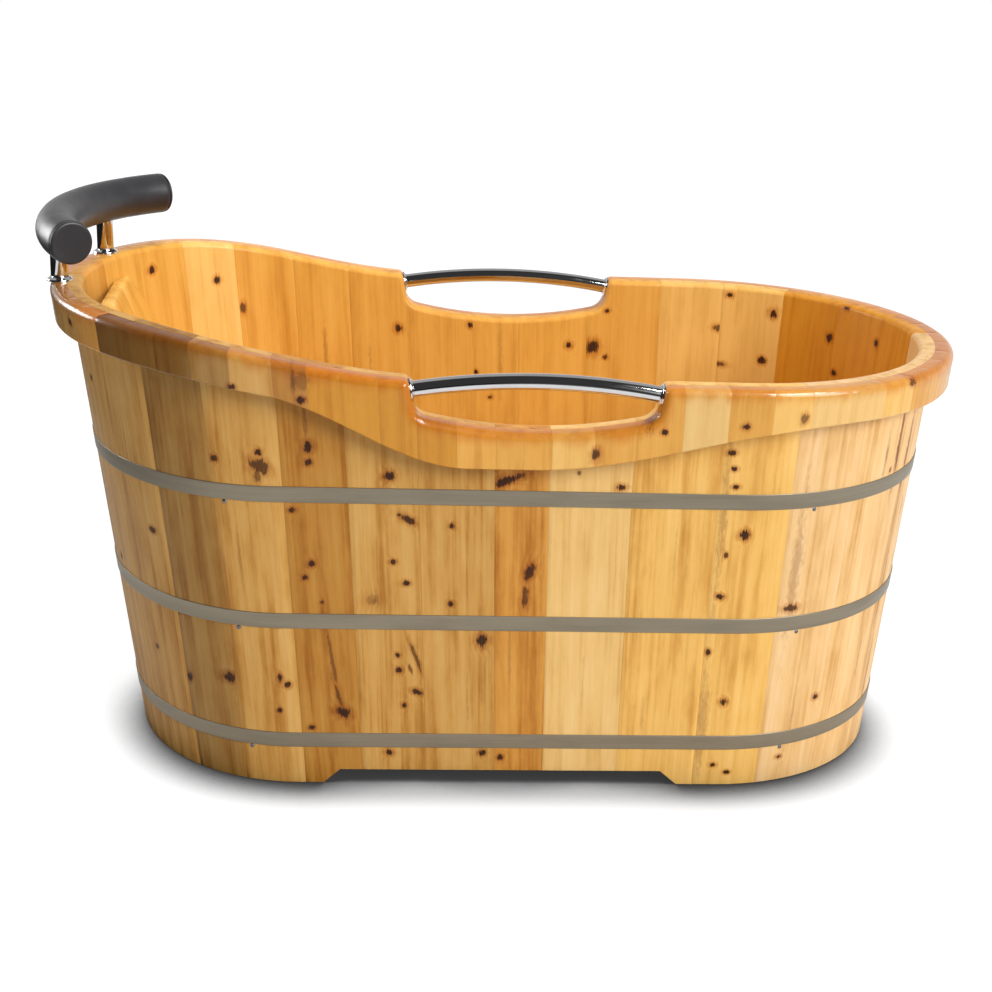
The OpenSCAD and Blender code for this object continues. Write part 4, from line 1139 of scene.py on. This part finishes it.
class TUB_OT_floor(bpy.types.Operator):
    """Build the tongue-and-groove floor boards and the battens under them"""
    bl_idname = "tub.floor"
    bl_label = "Floor boards"

    def execute(self, context):
        scene = context.scene
        w, f, d = scene.tub_wall, scene.tub_floor, scene.tub_drain
        wall = Wall(w)
        material = finish_once("cedar_floor", wood, scene.tub_colours.knot, 0.46, coat=0.15)
        colours = tones(context, "hghah")
        off, count = w.croze - w.stave_t, 5
        board_w = 2 * wall.width(f.base_z, off) / count
        low_z, high_z, third = f.base_z, f.base_z + f.base_t, f.base_t / 3
        head = wall.middle(low_z) - wall.end(low_z) - wall.head_ratio * wall.width(low_z, off - f.slip)
        foot = wall.middle(low_z) + wall.end(low_z) + wall.foot_ratio * wall.width(low_z, off - f.slip)
        # Stations along the boards, closest where the oval turns in, and just short of its tips
        turns = np.linspace(0, math.pi, 130)
        stations = (head + foot) / 2 - np.cos(turns) * (foot - head) / 2 * 0.99999
        bevel, narrowest = 0.0012, 0.002
        for k in range(count):
            low = (k - count / 2) * board_w
            left, right = low + (0 if k == 0 else f.slip), low + board_w
            section = [(left, low_z), (right, low_z), (right, low_z + third)]
            if k < count - 1:
                section += [(right + f.tongue, low_z + third), (right + f.tongue, low_z + 2 * third)]
            section += [(right, low_z + 2 * third), (right, high_z - bevel), (right - bevel, high_z),
                        (left + bevel, high_z), (left, high_z - bevel), (left, high_z - third + f.slip)]
            if k > 0:
                section += [(left + f.tongue, high_z - third + f.slip),
                            (left + f.tongue, low_z + third - f.slip)]
            section += [(left, low_z + third - f.slip)]
            knots = [(0.02, -0.31 + 0.13 * k, 0.006, 0.008, 1), (-0.03, 0.34 - 0.11 * k, 0.005, 0.005, 1)]
            board = Board((0, low + board_w / 2, high_z), (0, 1, 0), (1, 0, 0), 500 + k, colours[k], knots)
            rings = []
            for x in stations:
                half = float(wall.inside(x, low_z, off - f.slip))
                ring = [(x + w.shift, min(max(y, -half), half), z) for y, z in section]
                if np.ptp([p[1] for p in ring]) > narrowest:
                    rings.append(ring)
            pieces = Boards()
            pieces.board(board, rings)
            piece = pieces.object(f"floor_board_{k + 1}", material, "tub", [f"base_board_{k + 1}"],
                                  "floor_wood")
            if k == count // 2:
                self.drill(piece, board, d.drain_x + w.shift, d.body_r + 0.001, low_z, high_z)
        battens = Boards()
        for n, x in enumerate((-f.batten_step, 0, f.batten_step)):
            half = float(wall.inside(x - w.arch_back, low_z - f.batten_h, -w.stave_t)) - f.wall_gap
            mid = x - w.arch_back + w.shift
            board = Board((mid, 0, low_z - f.batten_h / 2), (1, 0, 0), (0, 1, 0), 520 + n, colours[n + 1],
                          [(0.01, 0.12 - 0.1 * n, 0.005, 0.006, 1)])
            rings, cut = [], 0.003
            for y in [-half, -half + cut, *np.linspace(-half, half, 14)[1:-1], half - cut, half]:
                i, c = (cut, 2 * cut) if abs(y) == half else (0, cut)
                section = chamfered(mid - f.batten_w / 2 + i, mid + f.batten_w / 2 - i,
                                    low_z - f.batten_h + i, low_z, c)
                rings.append([(a, y, z) for a, z in section])
            battens.board(board, rings)
        battens.object("floor_battens", material, "tub", ["base_battens"], "floor_wood")
        return {"FINISHED"}

    def drill(self, piece, board, x, radius, low, high):
        """Cut the drain's hole through a board, and give the new points their place in the log."""
        cutter, chamfer, past = Shape(), 0.0008, 0.02
        cutter.lathe([(0, low - past), (radius, low - past), (radius, high - chamfer),
                      (radius + chamfer, high), (radius + chamfer, high + past), (0, high + past)],
                     64, Matrix.Translation((x, 0, 0)))
        drill = placed("drill", cutter.mesh("drill"))
        welded(drill.data, 1e-7)
        cut = piece.modifiers.new("drain_hole", "BOOLEAN")
        cut.object, cut.operation, cut.solver = drill, "DIFFERENCE", "EXACT"
        bpy.context.view_layer.update()
        depsgraph = bpy.context.evaluated_depsgraph_get()
        cut_mesh = bpy.data.meshes.new_from_object(piece.evaluated_get(depsgraph))
        flat = np.zeros(3 * len(cut_mesh.vertices), np.float32)
        cut_mesh.vertices.foreach_get("co", flat)
        flat = flat.reshape(-1, 3)
        for name, field, values in (
                ("log", "vector", board.log(flat)), ("edge", "value", np.full(len(flat), AWAY)),
                ("tone", "color", np.tile([*board.tone, board.figure], (len(flat), 1)))):
            fill(cut_mesh.attributes[name], field, values)
        cut_mesh.set_sharp_from_angle(angle=math.radians(SHARP))
        piece.modifiers.clear()
        piece.data = cut_mesh
        bpy.data.objects.remove(drill)


class TUB_OT_backrest(bpy.types.Operator):
    """Build the leaning backrest of three planks, scribed to the wall, with its battens"""
    bl_idname = "tub.backrest"
    bl_label = "Backrest"

    def execute(self, context):
        scene = context.scene
        w, f, b = scene.tub_wall, scene.tub_floor, scene.tub_backrest
        wall = Wall(w)
        # The pale edge_shade is a painted highlight along the planks' top edge
        material = finish_once("cedar_backrest", wood, scene.tub_colours.knot, 0.40, edge_tint=0.8,
                               edge_shade=(1.14, 1.32, 1.8), edge_width=0.009, coat=0.3)
        colours = tones(context, "hhh")
        low, high = f.base_z + f.base_t + f.slip, scene.tub_rim.head_height - b.drop

        def line(z, depth):
            """Place along the tub of the leaning board's face, or of a plane behind it."""
            return -b.top_x + (high - z) * math.tan(b.lean) - depth / math.cos(b.lean)

        def reach(z, depth):
            """Half width up to the wall there."""
            return float(wall.inside(line(z, depth), z, -w.stave_t - f.wall_gap))

        edge, c = 0.003, 0.0015
        shoulder = high - edge * 0.3
        set_back = {low: edge, shoulder: edge * 0.45, high: edge}
        heights = [low, low + edge, *np.linspace(low, high, 16)[1:-1], high - edge, shoulder, high]
        planks = Boards()
        for n, side in enumerate((0, -1, 1)):
            way = side or 1
            inner = b.plank_half + (f.slip / 2 if side else -f.slip / 2)
            first = way * inner if side else -inner
            rings = []
            for z in heights:
                i = set_back.get(z, 0)
                front, rear = i, b.plank_t - i
                near, far = (way * (reach(z, depth) - i) if side else inner for depth in (0, b.plank_t))
                ring = [(front + c, first), (front, first + way * c), (front, near - way * c),
                        (front + c, near), (rear - c, far), (rear, far - way * c),
                        (rear, first + way * c), (rear - c, first)]
                rings.append([(line(z, d) + w.shift, y, z) for d, y in ring])
            y = side * (b.plank_half + 0.09)
            knots = [(0.02, 0.12, 0.005, 0.006, 1), (-0.02, -0.15 + 0.06 * n, 0.006, 0.005, 1)]
            board = Board((line(0.4, 0) + w.shift, y, 0.4), (0, 1, 0),
                          (line(0.7, 0) - line(0.1, 0), 0, 0.6), 540 + n, colours[n], knots)
            planks.board(board, rings, np.tile([[high - z] for z in heights], 8), calm=0.6)
        planks.object("backrest_boards", material, "tub", ["backrest_planks"], "backrest_wood")
        battens = Boards()
        for n, share in enumerate((0.25, 0.72)):
            z = f.base_z + f.base_t + (high - f.base_z - f.base_t) * share
            half = reach(z, b.plank_t + b.batten_t) - b.batten_w
            rings = []
            cut = 0.002
            for y in (-half, -half + cut, *np.linspace(-half, half, 9)[1:-1], half - cut, half):
                i = cut if abs(y) == half else 0
                section = chamfered(b.plank_t, b.plank_t + b.batten_t - i,
                                    -b.batten_w / 2 + i, b.batten_w / 2 - i, c)
                rings.append([(line(z + dz, d) + w.shift, y, z + dz) for d, dz in section])
            board = Board((line(z, b.plank_t) + w.shift, 0, z), (0, 0, 1), (0, 1, 0), 550 + n, colours[n])
            battens.board(board, rings)
        battens.object("backrest_cross_battens", material, "tub", ["backrest_battens"], "backrest_wood")
        return {"FINISHED"}


FLANGE_PLAY = 0.00015  # gap between a flange or nut and the round bar in it


def tube(shape, path, radii, steps, place=None):
    """A round bar along a plane path of (point, direction) pairs, with a radius at each."""
    rings = []
    for (point, direction), radius in zip(path, radii):
        direction = Vector(direction).normalized()
        side = direction.orthogonal() if abs(direction.z) > 0.99 else direction.cross(Vector((0, 0, 1)))
        side.normalize()
        up = side.cross(direction)
        rings.append([Vector(point) + (side * math.cos(a) + up * math.sin(a)) * radius
                      for a in np.linspace(0, 2 * math.pi, steps, endpoint=False)])
    shape.loft(rings, place=place)


class TUB_OT_handles(bpy.types.Operator):
    """Bend the two chromed grab handles into their notches, with a stepped flange at each end"""
    bl_idname = "tub.handles"
    bl_label = "Handles"

    def execute(self, context):
        scene = context.scene
        wall, g = Wall(scene.tub_wall), scene.tub_handles
        line = RimLine(wall, scene.tub_rim, g)
        material = finish_once("polished_handles", chromed, scene.tub_colours.chrome, 0.07)
        bolts = finish_once("turned_bolts", plain_steel, (0.50, 0.50, 0.50), 0.42)
        flanges = Shape()
        for side, name in ((-1, "handle_near"), (1, "handle_far")):
            middle = Vector((g.handle_x + scene.tub_wall.shift, side * line.tube_y, line.bend_z))
            bar, r, path = Shape(), g.tube_d / 2, []
            for a in np.linspace(-line.turn, line.turn, 61):
                out = Vector((math.sin(a), 0, math.cos(a))) * line.bend
                path.append((middle + out, (math.cos(a), 0, -math.sin(a))))
            tube(bar, path, [r] * len(path), 48)
            bar.object(f"{name}_tube", material, "tub", [name], "handle_chrome", sharp=50)
            steps = ((0.0004, 0.42), (0.0012, 0.5), (0.0022, 0.55), (0.0027, 0.66), (0.0032, 0.86),
                     (0.0038, 0.97), (0.0046, 1))
            profile = flange_section(r + FLANGE_PLAY, g.flange_d / 2, -g.flange_t, steps, 0.0004, 0.0004)
            for s in (-1, 1):
                place = (Matrix.Translation(middle) @ Matrix.Rotation(s * line.turn, 4, "Y")
                         @ Matrix.Translation((0, 0, line.bend)) @ Matrix.Rotation(s * math.pi / 2, 4, "Y"))
                flanges.lathe(profile, 64, place)
        flanges.object("handle_flange_rings", material, "tub", ["handle_flanges"], "handle_chrome", sharp=50)
        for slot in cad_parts["hanger_bolts"].material_slots:
            slot.material = bolts
        return {"FINISHED"}


class TUB_OT_headrest(bpy.types.Operator):
    """Build the headrest: the foam roll, the bar and posts inside it, and the flanges on the rim"""
    bl_idname = "tub.headrest"
    bl_label = "Headrest"

    def execute(self, context):
        scene = context.scene
        wall, h = Wall(scene.tub_wall), scene.tub_headrest
        rim_z = scene.tub_rim.head_height
        chrome = finish_once("polished_posts", chromed, scene.tub_colours.chrome, 0.09)
        foam = finish_once("skinned_roll", skinned_foam, scene.tub_colours.foam)
        x = wall.middle(rim_z) - wall.end(rim_z) + scene.tub_wall.shift
        stand = Matrix.Translation((x, 0, 0)) @ Matrix.Rotation(math.pi - h.pad_turn, 4, "Z")
        z = rim_z + h.pad_over

        def bent(angle):
            """Point and direction of the bar's middle line."""
            way = (-math.sin(angle), math.cos(angle), 0)
            return (h.bend * math.cos(angle), h.bend * math.sin(angle), z), way

        roll = Shape()
        r, end = h.pad_d / 2, h.pad_round
        face, fall = r - 0.0045, 0.004
        cap = [(end, face * share) for share in (0.30, 0.55, 0.75, 0.90, 0.98)]
        cap += [tuple(p) for p in arc((end - fall, face), fall, 0, math.pi / 2, 6)]
        # A fine groove behind the rolled cap
        cap += [(end - 0.0046, r - 0.0007), (end - 0.0050, r - 0.0022), (end - 0.0058, r - 0.0022),
                (end - 0.0064, r - 0.0006), (end - 0.0070, r)]

        def tip(s):
            """The rings of one end, from its face inwards."""
            point, way = bent(s * h.pad_angle)
            return [(Vector(point) + Vector(way) * s * out, way) for out, _ in cap]

        middle = [bent(a) for a in np.linspace(-h.pad_angle, h.pad_angle, 73)[1:-1]]
        # The moulded foam's girth is slightly uneven
        girth = [min(r, r * (1 + 0.004 * math.sin(n * 0.37) + 0.003 * math.sin(n * 0.9 + 1)))
                 for n in range(len(middle))]
        radii = [radius for _, radius in cap]
        tube(roll, tip(-1) + middle + tip(1)[::-1], radii + girth + radii[::-1], 56, stand)
        pillow = roll.object("headrest_roll", foam, "tub", ["headrest_pillow"], "headrest_foam", sharp=60)
        bars = Shape()
        bar_end = h.pad_angle - math.radians(4)  # the bar stops short of the roll's ends
        path = [bent(a) for a in np.linspace(-bar_end, bar_end, 41)]
        tube(bars, path, [h.bar_d / 2] * len(path), 32, stand)
        flanges = Shape()
        p, tip_z = h.post_d / 2, h.pad_over
        post = [(0, 0.0003), (p - 0.0006, 0.0003), (p, 0.0009), (p, tip_z - 0.016),
                (p - 0.002, tip_z - 0.008), (p - 0.006, tip_z - 0.002), (0, tip_z)]
        steps = (0.0006, 0.48), (0.002, 0.62), (0.0036, 0.74), (0.0046, 0.90)
        flange = flange_section(p + FLANGE_PLAY, h.flange_d / 2, h.flange_t, steps, 0.0012, 0.0006)
        for s in (-1, 1):
            foot = stand @ Matrix.Rotation(s * h.post_angle, 4, "Z") @ Matrix.Translation((h.bend, 0, rim_z))
            bars.lathe(post, 48, foot)
            flanges.lathe(flange, 64, foot)
        bars.object("headrest_bar_and_posts", chrome, "tub", ["headrest_frame"], "headrest_chrome", sharp=50,
                    weld=True)
        flanges.object("headrest_flange_rings", chrome, "tub", ["headrest_flanges"], "headrest_chrome",
                       sharp=50)
        return {"FINISHED"}


class TUB_OT_drain(bpy.types.Operator):
    """Build the floor drain with its gasket, nut, lift-up stopper and seal"""
    bl_idname = "tub.drain"
    bl_label = "Drain"

    def execute(self, context):
        scene = context.scene
        d, f = scene.tub_drain, scene.tub_floor
        chrome = finish_once("polished_drain", chromed, scene.tub_colours.chrome, 0.12)
        black = finish_once("bloomed_rubber", rubber, scene.tub_colours.rubber)
        at = Matrix.Translation((d.drain_x + scene.tub_wall.shift, 0, 0))
        floor_z = f.base_z + f.base_t
        flange_z = floor_z + d.gasket_t
        seat_z = flange_z + d.flange_t
        body_low = f.base_z - d.nut_h - 0.002
        inner, tail_in = d.body_r - d.body_wall, d.tail_r - 0.0025
        step = body_low + d.body_wall
        body, threads, pitch = Shape(), [], 0.0015
        for n in range(14):
            z = body_low + 0.001 + n * pitch
            threads += [(d.body_r - 0.0006, z), (d.body_r, z + pitch / 2)]
        tail = [(tail_in, d.tail_z + 0.0006), (tail_in + 0.0006, d.tail_z), (d.tail_r - 0.0008, d.tail_z),
                (d.tail_r, d.tail_z + 0.0008), (d.tail_r, body_low), (d.body_r - 0.0006, body_low)]
        flange = [(d.body_r, flange_z - 0.001), (d.body_r, flange_z), (d.flange_r - 0.0004, flange_z),
                  (d.flange_r, flange_z + 0.0005), (d.flange_r - 0.0004, flange_z + d.flange_t * 0.55),
                  (d.flange_r - 0.0022, seat_z - 0.0003), (d.flange_r - 0.004, seat_z)]
        seat = [(inner + 0.001, seat_z), (inner, seat_z - 0.001), (inner, step), (tail_in, step)]
        body.lathe(tail + threads + flange + seat, 72, at)
        guide_z, guide_r, guide_h, play, arris = f.base_z + 0.002, 0.007, 0.008, 0.00006, 0.0005
        body.lathe(ring_section(d.stem_r + play, guide_r, guide_z, guide_z + guide_h, arris, arris), 40, at)
        for angle in (0, 120, 240):
            arm = at @ Matrix.Rotation(math.radians(angle), 4, "Z")
            rings = [[(x, y, guide_z + z) for y, z in chamfered(-0.002, 0.002, 0, guide_h / 2, arris)]
                     for x in (guide_r - 0.0008, inner + 0.001)]
            body.loft(rings, place=arm)
        body.object("drain_body_turned", chrome, "tub", ["drain_body"], "drain_chrome", sharp=40)
        gasket = Shape()
        rim, hole = d.flange_r - 0.001, d.body_r + 0.0003
        gasket.lathe([(hole, floor_z), (rim - 0.0004, floor_z), (rim, floor_z + 0.0005),
                      (rim, flange_z - 0.0005), (rim - 0.0004, flange_z), (hole, flange_z)], 72, at)
        gasket.object("drain_gasket_ring", black, "tub", ["drain_gasket"], "seal_rubber")
        nut = Shape()
        hexagon, bore = d.nut_flats / 2, d.body_r + FLANGE_PLAY
        rings = []
        low, high = f.base_z - d.nut_h, f.base_z
        for a in np.linspace(0, 2 * math.pi, 96, endpoint=False):
            flat = hexagon / math.cos((a + math.pi / 6) % (math.pi / 3) - math.pi / 6)
            crown = min(flat, hexagon * 1.075)
            rings.append([(r * math.cos(a), r * math.sin(a), z) for r, z in (
                (bore, low), (crown - 0.0012, low), (flat, low + 0.0016), (flat, high - 0.0008),
                (flat - 0.0008, high), (bore, high))])
        nut.loft(rings, closed=True, place=at)
        nut.object("drain_nut_hexagon", chrome, "tub", ["drain_nut"], "drain_chrome", sharp=25)
        seal_t = cap_t = dome = collar_h = 0.003
        seal_gap = 0.0003
        cap_z = seat_z + seal_gap + seal_t
        collar_z = guide_z - d.lift - 0.001 - collar_h
        stopper = Shape()
        rise = [(d.stopper_r - 3 * dome * (1 - math.cos(a)), cap_z + cap_t + dome * math.sin(a) * 0.999)
                for a in np.linspace(0, math.pi / 2, 9)]
        collar_r, crown_z = d.stem_r + 0.002, cap_z + cap_t + dome
        stopper.lathe([(0, collar_z), (collar_r - 0.0005, collar_z), (collar_r, collar_z + 0.0005),
                       (collar_r, collar_z + collar_h), (d.stem_r, collar_z + collar_h), (d.stem_r, cap_z),
                       (d.stopper_r - 0.0006, cap_z), (d.stopper_r, cap_z + 0.0006), *rise,
                       (0.008, crown_z), (0.0075, crown_z - 0.0004), (0, crown_z - 0.0004)], 72, at)
        stopper.object("drain_stopper_turned", chrome, "stopper", ["drain_stopper"], "drain_chrome", sharp=40,
                       weld=True)
        seal = Shape()
        outer, hole, low = d.body_r + 0.004, d.stem_r + seal_gap, seat_z + seal_gap
        seal.lathe(ring_section(hole, outer, low, cap_z, 0.0008, 0.0006), 64, at)
        seal.object("stopper_seal_ring", black, "stopper", ["stopper_seal"], "seal_rubber")
        return {"FINISHED"}


# ---------------------------------------------------------------------------------------------
# Stage

class TUB_OT_stage(bpy.types.Operator):
    """Set up the pale floor, the soft light, the cards that the chrome reflects, and the camera"""
    bl_idname = "tub.stage"
    bl_label = "Stage"

    def execute(self, context):
        scene, s = context.scene, context.scene.tub_stage
        self.world(scene)
        self.floor(s)
        self.lamps()
        self.cards()
        self.camera(scene, s)
        scene.view_settings.view_transform = "Standard"
        return {"FINISHED"}

    def world(self, scene):
        """Plain light all round, pure white behind the part, and a studio for reflections."""
        scene.world = bpy.data.worlds.new("studio")
        n = Nodes(scene.world)

        def light(strength, colour=(1, 1, 1, 1)):
            return n.node("Background", {"Strength": strength, "Color": colour}).outputs[0]

        def mixed(share, a, b):
            return n.node("MixShader", {0: share, 1: a, 2: b}).outputs[0]

        # Seen in reflections: a pale wall behind that darkens overhead, and one window in front
        x, y, z = n.split(n.node("TexCoord").outputs["Generated"])
        overhead = n.span(z, 0.12, 0.38, 1.0, 0.38)
        behind = n.sum("MULTIPLY", n.span(y, 0.02, 0.28), overhead)
        window = n.sum("MULTIPLY", n.span(y, -0.45, -0.60), n.span(x, 0.20, 0.36))
        window = n.sum("MULTIPLY", window, n.sum("MULTIPLY", n.span(z, 0.10, 0.18), n.span(z, 0.52, 0.44)))
        shown = n.sum("ADD", n.sum("MAXIMUM", behind, n.sum("MULTIPLY", window, 1.3)), 0.04)
        path = n.node("LightPath").outputs
        surroundings = mixed(path["Is Glossy Ray"], light(0.34, (0.95, 0.97, 1.0, 1)), light(shown))
        seen = n.sum("MAXIMUM", path["Is Camera Ray"], path["Is Transmission Ray"])
        n.put(n.nodes["World Output"].inputs["Surface"], mixed(seen, surroundings, light(1.0)))

    def floor(self, s):
        """A pale floor that reads as white but for the shadow where the part stands."""
        ground, reach, thick = Shape(), 7.0, 0.02
        ground.lathe([(0, -thick), (reach, -thick), (reach, 0.0), (0, 0.0)], 96)
        floor = placed("studio_floor", ground.mesh("studio_floor"))
        f = Finish("studio_floor", Roughness=0.9, Specular_IOR_Level=0.0)
        # The shadow is judged along a direction that leans back, so it is deepest in front of the part
        leaning = f.node("CombineXYZ", {0: 0.0, 1: 0.42, 2: 0.91}).outputs[0]
        contact = f.node("AmbientOcclusion", {"Distance": 0.13, "Normal": leaning}, samples=32).outputs["AO"]
        contact = f.span(contact, 0.30, 0.84, 0.04, 1.0)
        base = f.mix(contact, (0.05, 0.053, 0.06), tuple(s.floor_colour))
        path = f.node("LightPath").outputs
        place = f.split(f.node("NewGeometry").outputs["Position"])
        # Reflections see a dark floor far in front of the part
        unlit = f.sum("MULTIPLY", path["Is Glossy Ray"], f.span(place[1], -1.9, -2.6))
        base = f.mix(f.sum("MULTIPLY", unlit, 0.9), base, (0.0, 0.0, 0.0))
        # The camera sees mostly an even light of the floor's own, less the shadow
        seen = path["Is Camera Ray"]
        f.feed("Base Color", f.mix(seen, base, f.mix(1.0, base, (0.20, 0.20, 0.20), "MULTIPLY")))
        glow = f.node("Emission", {"Strength": f.sum("MULTIPLY", f.sum("MULTIPLY", seen, contact), 0.93)})
        both = f.node("AddShader", {0: f.shader.outputs[0], 1: glow.outputs[0]})
        f.links.new(both.outputs[0], f.nodes["Material Output"].inputs["Surface"])
        floor.data.materials.append(f.material)

    def lamps(self):
        """Two broad suns, a panel over the inside, and two panels that only put gleams on the chrome."""
        for name, towards, energy, spread in (
                ("soft_key", (0.58, -0.62, 0.53), 2.9, 32), ("back_light", (-0.15, 0.55, 0.82), 0.7, 60)):
            sun = bpy.data.lights.new(name, "SUN")
            sun.energy, sun.angle = energy, math.radians(spread)
            lamp = placed(name, sun)
            lamp.visible_glossy = name == "soft_key"
            lamp.rotation_euler = Vector(towards).to_track_quat("Z", "Y").to_euler()
        for name, place, towards, size, power in (
                ("inside_light", (-0.30, 0.05, 1.75), (0.62, 0.10, 0.55), (0.7, 0.6), 9.5),
                ("gleam_left", (-2.60, 0.85, 1.25), (-0.72, -0.15, 0.78), (1.3, 1.0), 60),
                ("gleam_right", (1.30, -1.10, 2.30), (0.45, -0.36, 0.70), (0.9, 0.5), 45)):
            panel = bpy.data.lights.new(name, "AREA")
            panel.shape, panel.energy, panel.size, panel.size_y = "RECTANGLE", power, *size
            lamp = placed(name, panel)
            lamp.location = place
            lamp.rotation_euler = (Vector(place) - Vector(towards)).to_track_quat("Z", "Y").to_euler()
            lamp.visible_glossy = name.startswith("gleam")
            lamp.visible_diffuse = not lamp.visible_glossy

    def cards(self):
        """Black cards that only reflections show, so that the chrome has dark bands."""
        f = Finish("black_card", Base_Color=(0.012, 0.012, 0.013, 1), Roughness=1.0, Specular_IOR_Level=0.0)
        for name, corners in (
                ("card_left", [(-1.5, -2.4, 0.0), (-1.5, 2.2, 0.0), (-1.5, 2.2, 0.82), (-1.5, -2.4, 0.82)]),
                ("card_front", [(-1.5, -2.4, 0.0), (0.2, -3.2, 0.0), (0.2, -3.2, 0.6), (-1.5, -2.4, 0.82)])):
            mesh = bpy.data.meshes.new(name)
            mesh.from_pydata(corners, [], [(0, 1, 2, 3)])
            mesh.materials.append(f.material)
            card = placed(name, mesh)
            card.visible_camera = card.visible_diffuse = card.visible_shadow = False
            card.visible_transmission = False

    def camera(self, scene, s):
        """One camera that looks down on the near side, slightly rolled."""
        down, right, roll = s.camera_down, s.camera_right, s.camera_roll
        ahead = Vector((math.sin(right) * math.cos(down), math.cos(right) * math.cos(down), -math.sin(down)))
        level = Vector((math.cos(right), -math.sin(right), 0))
        up = level.cross(ahead)
        x, y = level * math.cos(roll) + up * math.sin(roll), up * math.cos(roll) - level * math.sin(roll)
        camera = bpy.data.cameras.new("camera")
        camera.lens, camera.sensor_width, camera.clip_end = s.lens, 36, 60
        eye = placed("camera", camera)
        turned = Matrix((x, y, -ahead)).transposed().to_4x4()
        eye.matrix_world = Matrix.Translation(Vector(s.camera_place)) @ turned
        scene.camera = eye


class TUB_PT_panel(bpy.types.Panel):
    """Lists the pieces of the tub in the order in which they are built"""
    bl_idname = "TUB_PT_panel"
    bl_label = "Bathtub"
    bl_space_type = "VIEW_3D"
    bl_region_type = "UI"
    bl_category = "Bathtub"

    def draw(self, context):
        for step in STEPS:
            self.layout.operator(step.bl_idname)


STEPS = (TUB_OT_staves, TUB_OT_rim, TUB_OT_hoops, TUB_OT_nails, TUB_OT_floor, TUB_OT_backrest,
         TUB_OT_handles, TUB_OT_headrest, TUB_OT_drain, TUB_OT_stage)


def register():
    for item in (*GROUPS.values(), *STEPS, TUB_PT_panel):
        bpy.utils.register_class(item)
    for name, group in GROUPS.items():
        setattr(bpy.types.Scene, name, bpy.props.PointerProperty(type=group))


def unregister():
    for name in GROUPS:
        delattr(bpy.types.Scene, name)
    for item in reversed((*GROUPS.values(), *STEPS, TUB_PT_panel)):
        bpy.utils.unregister_class(item)


def main():
    register()
    bpy.ops.tub.staves()
    bpy.ops.tub.rim()
    bpy.ops.tub.hoops()
    bpy.ops.tub.nails()
    bpy.ops.tub.floor()
    bpy.ops.tub.backrest()
    bpy.ops.tub.handles()
    bpy.ops.tub.headrest()
    bpy.ops.tub.drain()
    bpy.ops.tub.stage()


if __name__ == "__main__":
    main()
